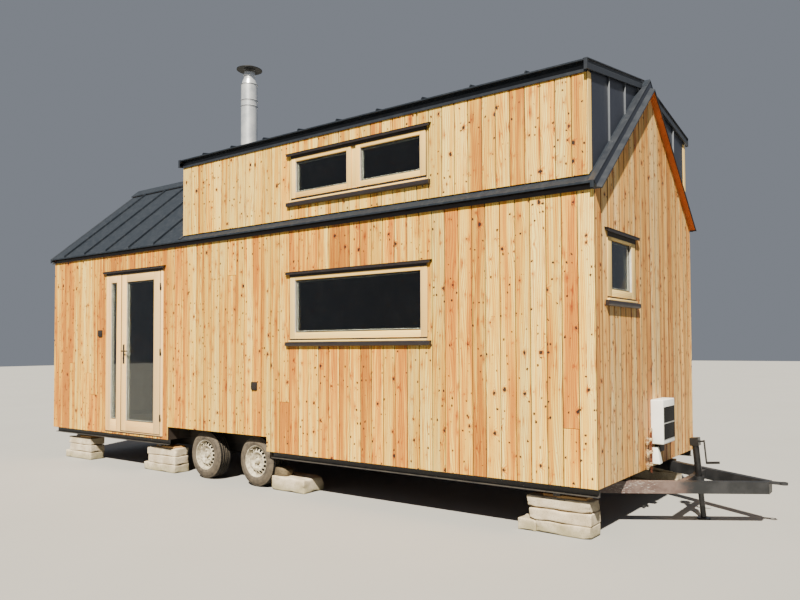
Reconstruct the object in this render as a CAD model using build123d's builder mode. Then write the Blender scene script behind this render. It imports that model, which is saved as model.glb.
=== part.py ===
from build123d import *
import math
import os

os.makedirs("parts", exist_ok=True)

# House body, measured over the cladding
house_length = 8330
house_width = 2550
ground_gap = 420
wall_thickness = 150
floor_thickness = 80
seat_gap = 0.3

# Main roof: height of its eave edge above the foot of the cladding
eave_edge_height = 2400
eave_overhang = 65
verge_overhang = 30
roof_pitch = 41.8
sheet_depth = 40
sheet_edge_depth = 12
roof_depth = 150
ridge_joint = 4

# Dormers, one on each long side
dormer_edge_height = 3370
dormer_from_gable = 40
dormer_length = 5240
cheek_thickness = 90

# Flashings
ridge_cap_rise = 35
ridge_cap_reach = 120
tip_cap_rise = 12
fascia_depth = 34
fascia_thickness = 22
fascia_gap = 44
rake_trim_thickness = 4
rake_flare_reach = 78
rake_flare_drop = 104
rake_lip_height = 6
rake_lip_width = 12
dormer_fascia_depth = 54
dormer_rake_reach = 20
dormer_rake_depth = 74

# Windows: width, height, distance of the near jamb from the hitch gable, sill height
window_depth = 70
window_proud = 10
pane_thickness = 24
low_window_width = 1801
low_window_height = 678
low_window_from_gable = 1623
low_window_sill = 1206
low_window_side = 80
low_window_rail = 72
high_window_width = 1789
high_window_height = 462
high_window_from_gable = 1625
high_window_sill = 2674
high_window_side = 74
high_window_rail = 68
high_window_mullion = 200
gable_window_width = 630
gable_window_height = 528
gable_window_from_front = 235
gable_window_sill = 1517
gable_window_side = 95
gable_window_rail = 66
trim_reach = 46
trim_overhang = 45
trim_lap = 6
head_trim_height = 34
sill_lip_height = 52
sill_recess_height = 28

# Entrance door with its fixed side light
door_width = 1277
door_height = 2078
door_from_gable = 5689
door_sill = 35
door_jamb_width = 52
door_head_rail = 26
door_threshold = 14
door_frame_depth = 74
side_light_width = 308
side_light_outer_stile = 61
side_light_inner_stile = 116
side_light_rail = 143
leaf_depth = 66
leaf_clearance = 5
leaf_latch_stile = 112
leaf_hinge_stile = 143
leaf_top_rail = 109
leaf_foot_rail = 131
door_pane_thickness = 24
handle_height = 1081
handle_inset = 57
handle_plate_width = 34
handle_plate_height = 250
handle_plate_rise = 88
handle_plate_thickness = 8
handle_neck_length = 40
handle_neck_radius = 9
handle_lever_length = 130
handle_lever_thickness = 18
hinge_radius = 9
hinge_height = 90
hinge_inset = 202
hinge_strap_reach = 30
hinge_strap_thickness = 4

# Chassis
rail_depth = 100
main_rail_width = 60
main_rail_inset = 315
side_rail_width = 40
side_rail_depth = 70
side_rail_inset = 22
cross_member_width = 60
cross_member_inset = 650
cross_member_count = 8
drawbar_root_gap = 60

# Wheel housings and wheels
arch_from_gable = 3795
arch_length = 1783
arch_rail_gap = 40
arch_height = 152
housing_depth = 315
housing_skin = 20
rear_wheel_from_gable = 4951
wheel_spacing = 895
tyre_radius = 272.5
tyre_width = 185
tyre_ground_clearance = 10
tyre_inset = 60
tyre_shoulder = 26
tyre_bead = 12
rim_radius = 178
rim_lip = 12
rim_barrel = 8
rim_disc_thickness = 12
rim_disc_inset = 34
hub_radius = 58
hub_reach = 26
axle_radius = 32
axle_arm_length = 150
axle_arm_width = 50
axle_arm_inset = 5

# Drawbar and coupling
drawbar_reach = 1000
drawbar_angle = 30.3
drawbar_beam_width = 60
drawbar_beam_depth = 100
drawbar_drop = 35
drawbar_tip_half = 60
beam_joint = 4
end_plate_thickness = 14
tongue_width = 50
tongue_thickness = 20
eye_radius = 35
eye_bore_radius = 20
eye_reach = 1150

# Jack between the drawbar beams
jack_from_gable = 457
jack_tilt = 5.5
jack_tube_radius = 30
jack_tube_wall = 5
jack_tube_low = 240
jack_tube_high = 640
jack_leg_top = 430
jack_head_size = 76
jack_head_height = 70
jack_foot_radius = 58
jack_foot_thickness = 12
crank_shaft_radius = 8
crank_shaft_fit = 0.1
crank_shaft_length = 46
crank_bore_depth = 34
crank_arm_length = 190
crank_arm_width = 22
crank_arm_thickness = 10
crank_grip_radius = 11
crank_grip_length = 108
clamp_wall = 12
clamp_height = 70
crossbar_width = 50
crossbar_depth = 80

# Flue on the front dormer roof
flue_from_dormer_end = 447
flue_from_front = 600
flue_radius = 102
flue_wall = 27
flue_height = 4490
flue_neck_radius = 73
flue_neck_height = 80
flue_cap_radius = 155
flue_cap_rise = 62
flue_cap_thickness = 6

# Heater unit and valves on the hitch gable
unit_from_front = 1210
unit_width = 330
unit_depth = 130
unit_height = 405
unit_foot = 212
unit_corner = 10
grille_width = 306
grille_height = 294
grille_rise = 44
grille_thickness = 4
junction_width = 70
junction_depth = 90
junction_foot = 30
manifold_from_front = 1120
manifold_foot = -30
manifold_height = 400
manifold_pipe_radius = 14
manifold_reach = 45
manifold_arm_count = 3
manifold_arm_length = 90
manifold_arm_pitch = 110
manifold_back_radius = 9

# Small dark boxes on the front wall
wall_box_size = 90
wall_box_depth = 32
low_box_from_gable = 3985
low_box_height = 698
high_box_from_gable = 7102
high_box_height = 1318

# Block piers
block_length = 580
block_width = 200
block_height = 100
block_courses = 3
foot_course_slip = 85
pier_inset = 80
pier_distances = (380, 5850, 7785)
shim_length = 320
shim_width = 150

# Chock blocks against the fore wheels
chock_length = 500
chock_width = 300
chock_height = 150
chock_inset = 77
chock_gap = 6

# Places worked out from the sizes above
gable_x = (house_length + rake_flare_reach - eye_reach) / 2
far_x = gable_x - house_length
gable_inner_x = gable_x - wall_thickness
far_inner_x = far_x + wall_thickness
half_width = house_width / 2
inner_half = half_width - wall_thickness
eave_y = half_width + eave_overhang
base_z = ground_gap
floor_z = base_z + floor_thickness
eave_z = base_z + eave_edge_height
dormer_eave_z = base_z + dormer_edge_height
pitch = math.radians(roof_pitch)
main_slope = math.tan(pitch)
dormer_slope = (eave_z + eave_y * main_slope - dormer_eave_z) / eave_y
dormer_pitch = math.atan(dormer_slope)
sheet_drop = sheet_depth / math.cos(pitch)
edge_drop = sheet_edge_depth / math.cos(pitch)
roof_drop = roof_depth / math.cos(pitch)
dormer_sheet_drop = sheet_depth / math.cos(dormer_pitch)
dormer_edge_drop = sheet_edge_depth / math.cos(dormer_pitch)
dormer_roof_drop = roof_depth / math.cos(dormer_pitch)
dormer_rake_drop = dormer_rake_depth / math.cos(dormer_pitch)
ridge_run = eave_y - ridge_joint / 2
wall_run = eave_overhang
inner_run = eave_overhang + wall_thickness
dormer_right_x = gable_x - dormer_from_gable
dormer_left_x = dormer_right_x - dormer_length
axle_z = tyre_radius + tyre_ground_clearance
front, back = -1, 1


def main_top(run):
    """Height of the main roof's top face, a level run in from the eave edge."""
    return eave_z + run * main_slope


def dormer_top(run):
    """Height of the dormer roof's top face, a level run in from its edge."""
    return dormer_eave_z + run * dormer_slope


def across(side, run):
    """The y of a point that lies a level run in from the eave edge."""
    return side * (eave_y - run)


def section(side, *run_heights):
    """Points of a cross-section, from pairs of run and height."""
    return [(across(side, run), height) for run, height in run_heights]


def prism_x(points, x_low, x_high, mode=Mode.ADD):
    """A cross-section in y and z, drawn out along the house."""
    with BuildSketch(Plane.YZ.offset(x_low)) as outline:
        with BuildLine():
            Polyline(*points, close=True)
        make_face()
    extrude(outline.sketch, amount=x_high - x_low, mode=mode)


def prism_z(points, z_low, z_high, mode=Mode.ADD):
    """A plan outline in x and y, drawn upwards."""
    with BuildSketch(Plane.XY.offset(z_low)) as outline:
        with BuildLine():
            Polyline(*points, close=True)
        make_face()
    extrude(outline.sketch, amount=z_high - z_low, mode=mode)


def slope_bar(side, outward, end_x, profile):
    """A verge profile, as pairs of reach and drop, run from the eave edge up to the ridge."""
    with BuildSketch(Plane.XZ.offset(-across(side, 0))) as outline:
        with BuildLine():
            Polyline(*[(end_x + outward * reach, main_top(0) - drop) for reach, drop in profile],
                     close=True)
        make_face()
    upslope = (0, -side * math.cos(pitch), math.sin(pitch))
    extrude(outline.sketch, amount=ridge_run / math.cos(pitch), dir=upslope)


def block(x_range, y_range, z_range, mode=Mode.ADD):
    """An upright block between two values each way."""
    x_low, x_high = sorted(x_range)
    y_low, y_high = sorted(y_range)
    corners = [(x_low, y_low), (x_high, y_low), (x_high, y_high), (x_low, y_high)]
    prism_z(corners, min(z_range), max(z_range), mode)


def save(part, label):
    """Give a finished piece its name and write its file."""
    part.label = label
    export_step(part, f"parts/{label}.step")


# Floor, between the walls, notched for the wheel housings
arch_right_x = gable_x - arch_from_gable
arch_left_x = arch_right_x - arch_length
arch_top_z = base_z + arch_height
housing_y = half_width - housing_depth
with BuildPart() as floor:
    block((far_inner_x, gable_inner_x), (-inner_half, inner_half), (base_z, floor_z))
    for side in (front, back):
        block((arch_left_x - housing_skin, arch_right_x + housing_skin),
              (side * inner_half, side * (housing_y - housing_skin)),
              (base_z, floor_z), Mode.SUBTRACT)
save(floor.part, "floor")

# Housings over the wheels, open to the ground and to the cladding's cut-out
with BuildPart() as wheel_housings:
    for side in (front, back):
        block((arch_left_x - housing_skin, arch_right_x + housing_skin),
              (side * inner_half, side * (housing_y - housing_skin)),
              (base_z, arch_top_z + housing_skin))
        block((arch_left_x, arch_right_x),
              (side * inner_half, side * housing_y),
              (base_z, arch_top_z), Mode.SUBTRACT)
save(wheel_housings.part, "wheel_housings")

# Openings in the long walls
door_right_x = gable_x - door_from_gable
door_left_x = door_right_x - door_width
door_foot_z = base_z + door_sill
door_head_z = door_foot_z + door_height
low_right_x = gable_x - low_window_from_gable
low_left_x = low_right_x - low_window_width
low_foot_z = base_z + low_window_sill
high_right_x = gable_x - high_window_from_gable
high_left_x = high_right_x - high_window_width
high_foot_z = base_z + high_window_sill
high_head_z = high_foot_z + high_window_height
gable_window_y = gable_window_from_front - half_width
gable_foot_z = base_z + gable_window_sill


def wall_section(side, z_low):
    """A long wall's cross-section, its top cut to the roof's slope."""
    return section(side,
                   (wall_run, z_low),
                   (wall_run, main_top(wall_run) - sheet_drop),
                   (inner_run, main_top(inner_run) - sheet_drop),
                   (inner_run, z_low))


def cut_arch(side):
    """The notch in a long wall over the wheels."""
    block((arch_left_x, arch_right_x), (side * half_width, side * inner_half),
          (base_z, arch_top_z), Mode.SUBTRACT)


def cut_low_window(side):
    """The hole for a lower window."""
    block((low_left_x, low_right_x), (side * half_width, side * inner_half),
          (low_foot_z, low_foot_z + low_window_height), Mode.SUBTRACT)


with BuildPart() as front_wall_left:
    prism_x(wall_section(front, base_z), far_inner_x, door_left_x)
save(front_wall_left.part, "front_wall_left")

with BuildPart() as front_wall_door_bay:
    prism_x(wall_section(front, door_head_z), door_left_x, door_right_x)
    block((door_left_x, door_right_x), (-half_width, -inner_half), (base_z, door_foot_z))
save(front_wall_door_bay.part, "front_wall_door_bay")

with BuildPart() as front_wall_right:
    prism_x(wall_section(front, base_z), door_right_x, gable_inner_x)
    cut_arch(front)
    cut_low_window(front)
save(front_wall_right.part, "front_wall_right")

with BuildPart() as back_wall:
    prism_x(wall_section(back, base_z), far_inner_x, gable_inner_x)
    cut_arch(back)
    cut_low_window(back)
save(back_wall.part, "back_wall")

# Gable walls. The hitch gable is trimmed under the dormer roofs, and whole beyond them
meet_run = (dormer_eave_z - dormer_roof_drop - eave_z + sheet_drop) / (main_slope - dormer_slope)
gable_corner = [(wall_run, base_z), (wall_run, main_top(wall_run) - sheet_drop)]
hitch_half = gable_corner + [
    (meet_run, main_top(meet_run) - sheet_drop),
    (eave_y, dormer_top(eave_y) - dormer_roof_drop),
]
far_half = gable_corner + [(eave_y, main_top(eave_y) - sheet_drop)]


def gable_section(half):
    """A whole gable from the points of its front half."""
    return section(front, *half) + section(back, *half[-2::-1])


with BuildPart() as gable_wall_hitch:
    prism_x(gable_section(hitch_half), gable_inner_x, dormer_right_x)
    prism_x(gable_section(far_half), dormer_right_x, gable_x)
    block((gable_inner_x, gable_x), (gable_window_y, gable_window_y + gable_window_width),
          (gable_foot_z, gable_foot_z + gable_window_height), Mode.SUBTRACT)
save(gable_wall_hitch.part, "gable_wall_hitch")

with BuildPart() as gable_wall_far:
    prism_x(gable_section(far_half), far_x, far_inner_x)
save(gable_wall_far.part, "gable_wall_far")

# Dormer walls, standing on the eave strips
dormer_wall_points = (
    (wall_run, main_top(wall_run)),
    (wall_run, dormer_top(wall_run) - dormer_sheet_drop),
    (inner_run, dormer_top(inner_run) - dormer_sheet_drop),
    (inner_run, main_top(inner_run)),
)
dormer_wall_labels = {front: "dormer_wall_front", back: "dormer_wall_back"}
for side, label in dormer_wall_labels.items():
    with BuildPart() as dormer_wall:
        prism_x(section(side, *dormer_wall_points), dormer_left_x, dormer_right_x)
        block((high_left_x, high_right_x), (side * half_width, side * inner_half),
              (high_foot_z, high_head_z), Mode.SUBTRACT)
    save(dormer_wall.part, label)

# Dormer cheeks. The right ones stand on the hitch gable, the left ones run down as rafters
right_cheek = (
    (inner_run, main_top(inner_run) - sheet_drop),
    (inner_run, dormer_top(inner_run) - dormer_roof_drop),
    (meet_run, dormer_top(meet_run) - dormer_roof_drop),
)
left_cheek = (
    (inner_run, main_top(inner_run) - roof_drop),
    (inner_run, dormer_top(inner_run) - dormer_roof_drop),
    (ridge_run, dormer_top(ridge_run) - dormer_roof_drop),
    (ridge_run, main_top(ridge_run) - roof_drop),
)
with BuildPart() as dormer_cheeks:
    for side in (front, back):
        prism_x(section(side, *right_cheek), dormer_right_x - cheek_thickness, dormer_right_x)
        prism_x(section(side, *left_cheek), dormer_left_x, dormer_left_x + cheek_thickness)
save(dormer_cheeks.part, "dormer_cheeks")

# Main roof beyond the dormers: a covering with a thin eave, boxed in at the verges, and rafters
thin_eave = (
    (wall_run, main_top(wall_run) - sheet_drop),
    (wall_run, main_top(wall_run) - edge_drop),
    (0, main_top(0) - edge_drop),
    (0, main_top(0)),
)
covering = (
    (ridge_run, main_top(ridge_run)),
    (ridge_run, main_top(ridge_run) - sheet_drop),
) + thin_eave
verge_covering = (
    (0, main_top(0)),
    (ridge_run, main_top(ridge_run)),
    (ridge_run, main_top(ridge_run) - sheet_drop),
    (0, main_top(0) - sheet_drop),
)
rafters = (
    (inner_run, main_top(inner_run) - sheet_drop),
    (ridge_run, main_top(ridge_run) - sheet_drop),
    (ridge_run, main_top(ridge_run) - roof_drop),
    (inner_run, main_top(inner_run) - roof_drop),
)
verge_left_x = far_x - verge_overhang
verge_right_x = gable_x + verge_overhang
roof_labels = {front: "roof_front", back: "roof_back"}
for side, label in roof_labels.items():
    with BuildPart() as roof:
        prism_x(section(side, *verge_covering), verge_left_x, far_x)
        prism_x(section(side, *covering), far_x, dormer_left_x)
        prism_x(section(side, *rafters), far_inner_x, dormer_left_x)
    save(roof.part, label)

# Eave strips below the dormers, and verge strips over the hitch gable
eave_strip = (
    (inner_run, main_top(inner_run)),
    (inner_run, main_top(inner_run) - sheet_drop),
) + thin_eave
with BuildPart() as eave_strips:
    for side in (front, back):
        prism_x(section(side, *eave_strip), dormer_left_x, dormer_right_x)
save(eave_strips.part, "eave_strips")

with BuildPart() as verge_strips:
    for side in (front, back):
        prism_x(section(side, *covering), dormer_right_x, gable_x)
        prism_x(section(side, *verge_covering), gable_x, verge_right_x)
save(verge_strips.part, "verge_strips")

# Dormer roofs, from the ridge down to their own edges
dormer_roof_points = (
    (0, dormer_top(0)),
    (ridge_run, dormer_top(ridge_run)),
    (ridge_run, dormer_top(ridge_run) - dormer_roof_drop),
    (inner_run, dormer_top(inner_run) - dormer_roof_drop),
    (inner_run, dormer_top(inner_run) - dormer_sheet_drop),
    (wall_run, dormer_top(wall_run) - dormer_sheet_drop),
    (wall_run, dormer_top(wall_run) - dormer_edge_drop),
    (0, dormer_top(0) - dormer_edge_drop),
)
dormer_roof_labels = {front: "dormer_roof_front", back: "dormer_roof_back"}
flue_x = dormer_left_x + flue_from_dormer_end
flue_y = flue_from_front - half_width
for side, label in dormer_roof_labels.items():
    with BuildPart() as dormer_roof:
        prism_x(section(side, *dormer_roof_points), dormer_left_x, dormer_right_x)
        if side == front:
            with BuildSketch(Plane.XY.offset(dormer_eave_z - dormer_roof_drop)):
                with Locations((flue_x, flue_y)):
                    Circle(flue_radius)
            extrude(amount=dormer_roof_drop + eave_y, mode=Mode.SUBTRACT)
    save(dormer_roof.part, label)

# Ridge caps: steep over the main roof, shallow between the dormers, steep over the hitch gable


def cap_section(top, slope, reach, rise):
    """A folded cap that lies on both slopes."""
    low_run = eave_y - reach
    lift = rise * math.hypot(1, slope)
    return [
        (across(front, low_run), top(low_run)),
        (across(front, low_run), top(low_run) + lift),
        (0, top(eave_y) + lift),
        (across(back, low_run), top(low_run) + lift),
        (across(back, low_run), top(low_run)),
        (0, top(eave_y)),
    ]


tip_x = dormer_right_x + dormer_rake_reach
dormer_end_x = dormer_left_x - dormer_rake_reach
with BuildPart() as ridge_cap:
    prism_x(cap_section(main_top, main_slope, ridge_cap_reach, ridge_cap_rise),
            verge_left_x, dormer_end_x)
    prism_x(cap_section(dormer_top, dormer_slope, ridge_cap_reach, tip_cap_rise),
            dormer_end_x, tip_x)
    prism_x(cap_section(main_top, main_slope, ridge_cap_reach, tip_cap_rise),
            tip_x, verge_right_x)
save(ridge_cap.part, "ridge_cap")

# Eave fascias under the roof's edges
fascia_y = half_width + fascia_thickness
fascia_top_z = main_top(wall_run - fascia_thickness) - edge_drop - fascia_gap
with BuildPart() as eave_fascias:
    for side in (front, back):
        block((far_x, gable_x), (side * half_width, side * fascia_y),
              (fascia_top_z - fascia_depth, fascia_top_z))
save(eave_fascias.part, "eave_fascias")

dormer_fascia_top_z = dormer_top(wall_run - fascia_thickness) - dormer_sheet_drop
with BuildPart() as dormer_fascias:
    for side in (front, back):
        block((dormer_left_x, dormer_right_x), (side * half_width, side * fascia_y),
              (dormer_fascia_top_z - dormer_fascia_depth, dormer_fascia_top_z))
save(dormer_fascias.part, "dormer_fascias")

# Rake trims: a fold over the verge's edge that flares out to a lip, around a timber soffit
flare_inner_reach = rake_flare_reach - rake_lip_width
flare_inner_drop = rake_flare_drop - rake_trim_thickness
rake_foot_drop = rake_flare_drop + rake_lip_height
trim_out_reach = verge_overhang + rake_trim_thickness
rake_trim = (
    (verge_overhang, 0),
    (trim_out_reach, 0),
    (trim_out_reach, sheet_drop - rake_trim_thickness),
    (rake_flare_reach, rake_flare_drop),
    (rake_flare_reach, rake_foot_drop),
    (flare_inner_reach, rake_foot_drop),
    (flare_inner_reach, flare_inner_drop),
    (verge_overhang, sheet_drop),
)
rake_soffit = (
    (0, sheet_drop),
    (verge_overhang, sheet_drop),
    (flare_inner_reach, flare_inner_drop),
    (flare_inner_reach, rake_foot_drop),
    (0, rake_foot_drop),
)
with BuildPart() as rake_trims:
    for side in (front, back):
        slope_bar(side, 1, gable_x, rake_trim)
        slope_bar(side, -1, far_x, rake_trim)
save(rake_trims.part, "rake_trims")

with BuildPart() as rake_soffits:
    for side in (front, back):
        slope_bar(side, 1, gable_x, rake_soffit)
        slope_bar(side, -1, far_x, rake_soffit)
save(rake_soffits.part, "rake_soffits")

# Dormer rake trims, closing the ends of the dormer roofs down to the main slope
rake_meet_run = (dormer_eave_z - dormer_rake_drop - eave_z) / (main_slope - dormer_slope)
dormer_rake = (
    (0, dormer_top(0)),
    (ridge_run, dormer_top(ridge_run)),
    (rake_meet_run, dormer_top(rake_meet_run) - dormer_rake_drop),
    (0, dormer_top(0) - dormer_rake_drop),
)
with BuildPart() as dormer_rake_trims:
    for side in (front, back):
        prism_x(section(side, *dormer_rake), dormer_right_x, tip_x)
        prism_x(section(side, *dormer_rake), dormer_end_x, dormer_left_x)
save(dormer_rake_trims.part, "dormer_rake_trims")

# Window frames, standing a little proud of the cladding
frame_out_y = half_width + window_proud
frame_in_y = frame_out_y - window_depth
pane_out_y = (frame_out_y + frame_in_y + pane_thickness) / 2
pane_in_y = pane_out_y - pane_thickness
frame_out_x = gable_x + window_proud
pane_out_x = frame_out_x - (window_depth - pane_thickness) / 2
high_mid_x = (high_left_x + high_right_x) / 2
low_head_z = low_foot_z + low_window_height
gable_head_z = gable_foot_z + gable_window_height
low_pane_x = (low_left_x + low_window_side, low_right_x - low_window_side)
low_pane_z = (low_foot_z + low_window_rail, low_head_z - low_window_rail)
high_pane_z = (high_foot_z + high_window_rail, high_head_z - high_window_rail)
high_panes_x = (
    (high_left_x + high_window_side, high_mid_x - high_window_mullion / 2),
    (high_mid_x + high_window_mullion / 2, high_right_x - high_window_side),
)
gable_pane_y = (gable_window_y + gable_window_side,
                gable_window_y + gable_window_width - gable_window_side)
gable_pane_z = (gable_foot_z + gable_window_rail, gable_head_z - gable_window_rail)
with BuildPart() as window_frames:
    for side in (front, back):
        depth = (side * frame_in_y, side * frame_out_y)
        block((low_left_x, low_right_x), depth, (low_foot_z, low_head_z))
        block(low_pane_x, depth, low_pane_z, Mode.SUBTRACT)
        block((high_left_x, high_right_x), depth, (high_foot_z, high_head_z))
        for pane_x in high_panes_x:
            block(pane_x, depth, high_pane_z, Mode.SUBTRACT)
    block((frame_out_x - window_depth, frame_out_x),
          (gable_window_y, gable_window_y + gable_window_width), (gable_foot_z, gable_head_z))
    block((frame_out_x - window_depth, frame_out_x), gable_pane_y, gable_pane_z, Mode.SUBTRACT)
save(window_frames.part, "window_frames")

# Door frame and fixed side light, in one depth with the leaf
door_out_y = -(half_width + window_proud)
door_in_y = door_out_y + door_frame_depth
side_light_x = (door_left_x + door_jamb_width, door_left_x + door_jamb_width + side_light_width)
side_light_z = (door_foot_z + door_threshold, door_head_z - door_head_rail)
side_pane_x = (side_light_x[0] + side_light_outer_stile, side_light_x[1] - side_light_inner_stile)
side_pane_z = (side_light_z[0] + side_light_rail, side_light_z[1] - leaf_top_rail)
leaf_bay_x = (side_light_x[1], door_right_x - door_jamb_width)
with BuildPart() as door_frame:
    block((door_left_x, door_right_x), (door_out_y, door_in_y), (door_foot_z, door_head_z))
    block(leaf_bay_x, (door_out_y, door_in_y), side_light_z, Mode.SUBTRACT)
    block(side_pane_x, (door_out_y, door_in_y), side_pane_z, Mode.SUBTRACT)
save(door_frame.part, "door_frame")

# All fixed panes
side_pane_y = (door_out_y + door_frame_depth / 2 - pane_thickness / 2,
               door_out_y + door_frame_depth / 2 + pane_thickness / 2)
with BuildPart() as window_panes:
    for side in (front, back):
        depth = (side * pane_in_y, side * pane_out_y)
        block(low_pane_x, depth, low_pane_z)
        for pane_x in high_panes_x:
            block(pane_x, depth, high_pane_z)
    block((pane_out_x - pane_thickness, pane_out_x), gable_pane_y, gable_pane_z)
    block(side_pane_x, side_pane_y, side_pane_z)
save(window_panes.part, "window_panes")

# Head and sill flashings of the windows, and the head flashing of the door
trim_y = half_width + trim_reach
trim_x = gable_x + trim_reach


def trim_levels(z_low, z_high):
    """Heights of the sill and head flashing, each of the outer lip and of the part behind it."""
    sill_top = z_low - sill_recess_height
    sill_foot = sill_top - sill_lip_height
    head_foot = z_high - trim_lap
    head_top = head_foot + head_trim_height
    return (((sill_foot, sill_top), (sill_foot, z_low)),
            ((head_foot, head_top), (z_high, head_top)))


def wall_trims(side, x_low, x_high, z_low, z_high):
    """Sill and head flashing of an opening in a long wall."""
    ends = (x_low - trim_overhang, x_high + trim_overhang)
    for proud_z, wall_z in trim_levels(z_low, z_high):
        block(ends, (side * frame_out_y, side * trim_y), proud_z)
        block(ends, (side * half_width, side * frame_out_y), wall_z)


with BuildPart() as window_trims:
    for side in (front, back):
        wall_trims(side, low_left_x, low_right_x, low_foot_z, low_head_z)
        wall_trims(side, high_left_x, high_right_x, high_foot_z, high_head_z)
    gable_ends = (gable_window_y - trim_overhang,
                  gable_window_y + gable_window_width + trim_overhang)
    for proud_z, wall_z in trim_levels(gable_foot_z, gable_head_z):
        block((frame_out_x, trim_x), gable_ends, proud_z)
        block((gable_x, frame_out_x), gable_ends, wall_z)
    door_ends = (door_left_x - trim_overhang, door_right_x + trim_overhang)
    door_lip_z, door_wall_z = trim_levels(door_foot_z, door_head_z)[1]
    block(door_ends, (-frame_out_y, -trim_y), door_lip_z)
    block(door_ends, (-half_width, -frame_out_y), door_wall_z)
save(window_trims.part, "window_trims")

# Door leaf, hung on its right edge
leaf_x = (leaf_bay_x[0] + leaf_clearance, leaf_bay_x[1] - leaf_clearance)
leaf_z = (side_light_z[0] + leaf_clearance, side_light_z[1] - leaf_clearance)
leaf_y = (door_out_y, door_out_y + leaf_depth)
door_pane_x = (leaf_x[0] + leaf_latch_stile, leaf_x[1] - leaf_hinge_stile)
door_pane_z = (leaf_z[0] + leaf_foot_rail, leaf_z[1] - leaf_top_rail)
with BuildPart() as door_leaf:
    block(leaf_x, leaf_y, leaf_z)
    block(door_pane_x, leaf_y, door_pane_z, Mode.SUBTRACT)
save(door_leaf.part, "door_leaf")

door_pane_y = ((leaf_y[0] + leaf_y[1] - door_pane_thickness) / 2,
               (leaf_y[0] + leaf_y[1] + door_pane_thickness) / 2)
with BuildPart() as door_pane:
    block(door_pane_x, door_pane_y, door_pane_z)
save(door_pane.part, "door_pane")

handle_x = leaf_x[0] + handle_inset
handle_z = base_z + handle_height
plate_y = door_out_y - handle_plate_thickness
neck_y = plate_y - handle_neck_length
with BuildPart() as door_handle:
    block((handle_x - handle_plate_width / 2, handle_x + handle_plate_width / 2),
          (door_out_y, plate_y),
          (handle_z + handle_plate_rise - handle_plate_height, handle_z + handle_plate_rise))
    with BuildSketch(Plane.XZ.offset(-plate_y)):
        with Locations((handle_x, handle_z)):
            Circle(handle_neck_radius)
    extrude(amount=handle_neck_length)
    block((handle_x - handle_neck_radius, handle_x + handle_lever_length),
          (neck_y, neck_y + handle_lever_thickness),
          (handle_z - handle_neck_radius, handle_z + handle_neck_radius))
save(door_handle.part, "door_handle")

# Hinges: the lower knuckle is strapped to the frame, the upper one to the leaf
hinge_x = leaf_bay_x[1] + hinge_radius
hinge_y = door_out_y - hinge_radius
hinge_heights = (leaf_z[0] + hinge_inset, (leaf_z[0] + leaf_z[1]) / 2, leaf_z[1] - hinge_inset)
strap_y = door_out_y - seat_gap
strap_z = hinge_height / 2 - seat_gap


def knuckle(z_low):
    """Half a hinge's barrel."""
    with BuildSketch(Plane.XY.offset(z_low)) as barrel:
        with Locations((hinge_x, hinge_y)):
            Circle(hinge_radius)
    extrude(barrel.sketch, amount=strap_z)


with BuildPart() as frame_hinges:
    for hinge_z in hinge_heights:
        foot_z = hinge_z - hinge_height / 2
        knuckle(foot_z)
        block((hinge_x, hinge_x + hinge_strap_reach),
              (door_out_y, door_out_y - hinge_strap_thickness), (foot_z, foot_z + strap_z))
save(frame_hinges.part, "frame_hinges")

with BuildPart() as leaf_hinges:
    for hinge_z in hinge_heights:
        knuckle(hinge_z)
        block((hinge_x, leaf_x[1]), (strap_y, strap_y - hinge_strap_thickness),
              (hinge_z, hinge_z + strap_z))
        block((leaf_x[1], leaf_x[1] - hinge_strap_reach),
              (door_out_y, strap_y - hinge_strap_thickness), (hinge_z, hinge_z + strap_z))
save(leaf_hinges.part, "leaf_hinges")

# Chassis rails: two main rails, and lighter side rails broken at the wheels
rail_z = (base_z - rail_depth, base_z)
main_rail_y = half_width - main_rail_inset
side_rail_y = half_width - side_rail_inset
rail_end_x = gable_inner_x
with BuildPart() as main_rails:
    for side in (front, back):
        block((far_x, rail_end_x), (side * main_rail_y, side * (main_rail_y - main_rail_width)),
              rail_z)
save(main_rails.part, "main_rails")

with BuildPart() as side_rails:
    for side in (front, back):
        for ends in ((far_x, arch_left_x - arch_rail_gap), (arch_right_x + arch_rail_gap, gable_x)):
            block(ends, (side * side_rail_y, side * (side_rail_y - side_rail_width)),
                  (base_z - side_rail_depth, base_z))
save(side_rails.part, "side_rails")

# Cross members between the main rails, up to the roots of the drawbar beams
main_inner_y = main_rail_y - main_rail_width
drawbar_tip_x = gable_x + drawbar_reach
beam_slope = math.tan(math.radians(drawbar_angle))
beam_cover = drawbar_beam_width / math.sin(math.radians(drawbar_angle))
beam_root_x = drawbar_tip_x - (main_inner_y - drawbar_tip_half) / beam_slope
first_member_x = far_x + cross_member_inset
last_member_x = beam_root_x - beam_cover - drawbar_root_gap - cross_member_width / 2
member_pitch = (last_member_x - first_member_x) / (cross_member_count - 1)
member_x = [first_member_x + member_pitch * index for index in range(cross_member_count)]

# Outriggers from the main rails to the side rails, over the piers
pier_x = [gable_x - distance for distance in pier_distances]
side_inner_y = side_rail_y - side_rail_width
with BuildPart() as cross_members:
    for x in member_x:
        block((x - cross_member_width / 2, x + cross_member_width / 2),
              (-main_inner_y, main_inner_y), rail_z)
    for x in pier_x:
        for side in (front, back):
            block((x - cross_member_width / 2, x + cross_member_width / 2),
                  (side * main_rail_y, side * side_inner_y), rail_z)
save(cross_members.part, "cross_members")

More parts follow.
